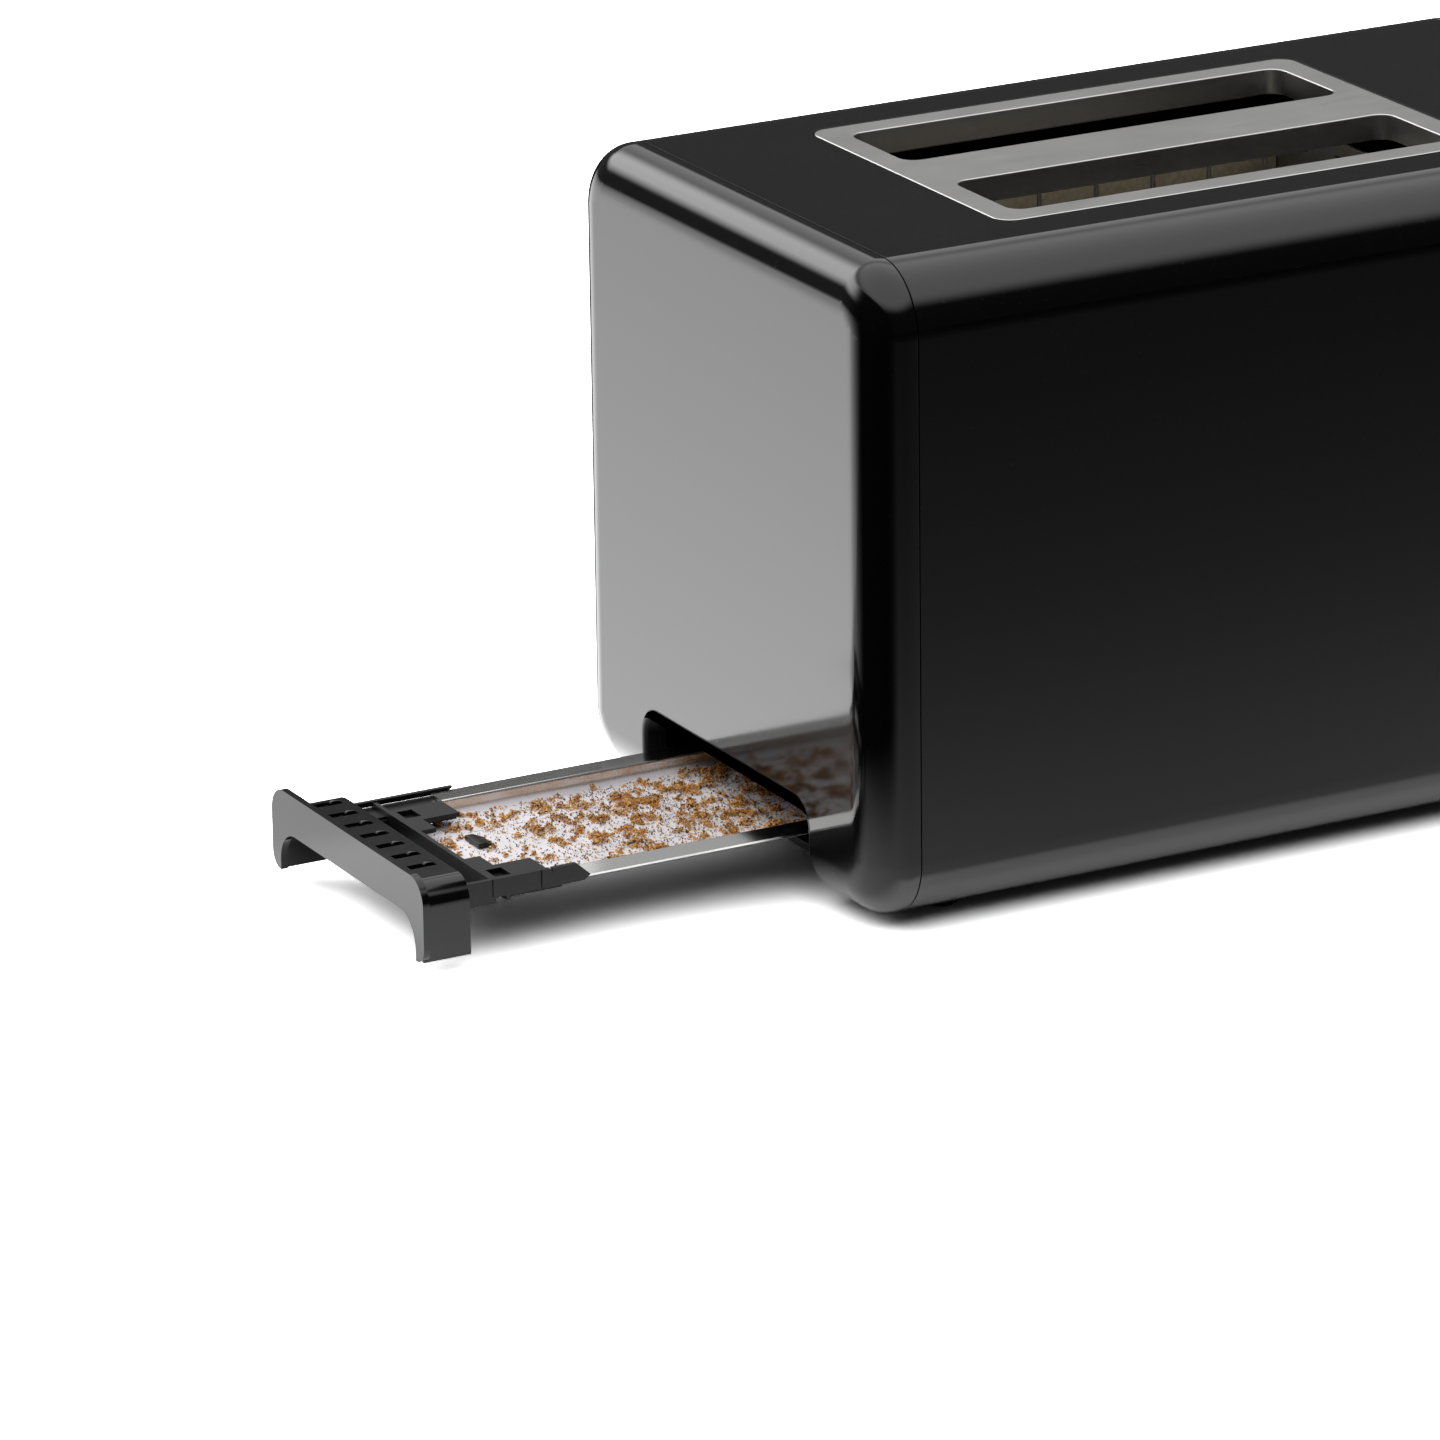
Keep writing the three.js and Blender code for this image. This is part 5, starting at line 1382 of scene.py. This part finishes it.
# ---------- Controls ----------
# The dial is satin black with a fluted rim and a pale pointer line, inside an arc of browning marks that
# grow. Three round buttons with dished faces stand above it, and a rubber grommet lines the cord's hole.

DIAL_FLUTES = 36
dial_middle = middle(dial_box)
dial_start = dial_box[0].x
dial_end = dial_box[1].x - 0.6 * MM
dial_radius = (dial_box[1].y - dial_box[0].y) / 2
shaft_radius = (shaft_box[1].y - shaft_box[0].y) / 2
dial_profile = [
    (shaft_radius + 0.3 * MM, dial_start),
    (dial_radius - 0.4 * MM, dial_start),
    (dial_radius, dial_start + 0.5 * MM),
    (dial_radius - 0.7 * MM, dial_end - 2 * MM),
    (dial_radius - 1.2 * MM, dial_end - 0.7 * MM),
    (dial_radius - 2.2 * MM, dial_end),
    (dial_radius - 3.4 * MM, dial_end - 0.3 * MM),
    (0, dial_end - 0.6 * MM),
]
cap_profile = [(0, shaft_box[1].x + 0.3 * MM), (shaft_radius + 0.3 * MM, shaft_box[1].x + 0.3 * MM)]
dial = turned(cap_profile + dial_profile, "X", (0, dial_middle.y, dial_middle.z), DIAL_FLUTES * 4)
for vert in dial.data.vertices:
    arm = Vector((vert.co.y - dial_middle.y, vert.co.z - dial_middle.z))
    rim = vert.co.x > dial_start + 0.2 * MM and arm.length > dial_radius - 1.5 * MM
    if rim and vert.co.x < dial_end - 0.5 * MM:
        flute = 0.35 * MM * (0.5 - 0.5 * math.cos(DIAL_FLUTES * math.atan2(arm.y, arm.x)))
        vert.co.y -= arm.x / arm.length * flute
        vert.co.z -= arm.y / arm.length * flute
finished(dial, "dial_knob", SATIN_BLACK, "dial", ["browning_dial"], sharp=50)


PALE_PRINT = ((0.5, 0.5, 0.49), (0.68, 0.68, 0.66))  # slightly uneven
PRINT = one_noise("pale_print", (1.2 * MM, 3), PALE_PRINT, (0.5, 0.2), 0.01 * MM)
pointer_z = (dial_middle.z + 5 * MM, dial_middle.z + dial_radius - 3.6 * MM)
pointer_outline = rectangle(dial_middle.y - 0.7 * MM, dial_middle.y + 0.7 * MM, *pointer_z)
pointer = prism(pointer_outline, "X", dial_end - 1.2 * MM, dial_end + 0.1 * MM, 0.65 * MM, 6)
finished(pointer, "dial_pointer", PRINT, "dial")

MARKS = 7
DIAL_TURN = 270  # degrees from the first mark to the last
for i in range(MARKS):
    turn = math.radians(DIAL_TURN * (i / (MARKS - 1) - 0.5))
    out = dial_radius + 4 * MM
    y = dial_middle.y + out * math.sin(turn)
    z = dial_middle.z + out * math.cos(turn)
    mark_radius = (0.5 + 0.11 * i) * MM
    mark = rod_x(mark_radius, face - 0.2 * MM, face + 0.06 * MM, Vector((0, y, z)), 20)
    finished(mark, f"browning_mark_{i + 1}", PRINT, "housing")

coated("dial_shaft", SPRING_STEEL)

for name in BUTTONS:
    low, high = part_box(name)
    centre = middle((low, high))
    radius = (high.y - low.y) / 2
    collar = face - WALL - 5 * MM
    profile = [
        (0, low.x),
        (2 * MM, low.x),
        (2 * MM, collar),
        (radius, collar),
        (radius, high.x - 0.8 * MM),
        (radius - 0.25 * MM, high.x - 0.25 * MM),
        (radius - 0.8 * MM, high.x),
        (radius - 1.6 * MM, high.x - 0.12 * MM),
        (radius / 2, high.x - 0.5 * MM),
        (0, high.x - 0.6 * MM),
    ]
    button = turned(profile, "X", (0, centre.y, centre.z), 56)
    body = name.split("_")[0]
    finished(button, body + "_push_button", SATIN_BLACK, body, [name], sharp=50)

low, high = grommet_box
flange = (high.y - low.y) / 2
bore = 3.75 * MM
neck = bore + 2 * MM
outside = face + 0.3 * MM
profile = [
    (bore, low.x),
    (flange, low.x),
    (flange, face - WALL - 0.3 * MM),
    (neck, face - WALL - 0.3 * MM),
    (neck, outside),
    (flange - 0.2 * MM, outside),
    (flange, outside + 0.4 * MM),
    (flange - 0.7 * MM, high.x - 0.5 * MM),
    (flange - 1.4 * MM, high.x),
    (bore + 0.4 * MM, high.x),
    (bore, high.x - 0.4 * MM),
    (bore, low.x),
]
grommet = turned(profile, "X", (0, middle(grommet_box).y, middle(grommet_box).z))
finished(grommet, "rubber_grommet", RUBBER, "housing", ["cord_grommet"], sharp=50)
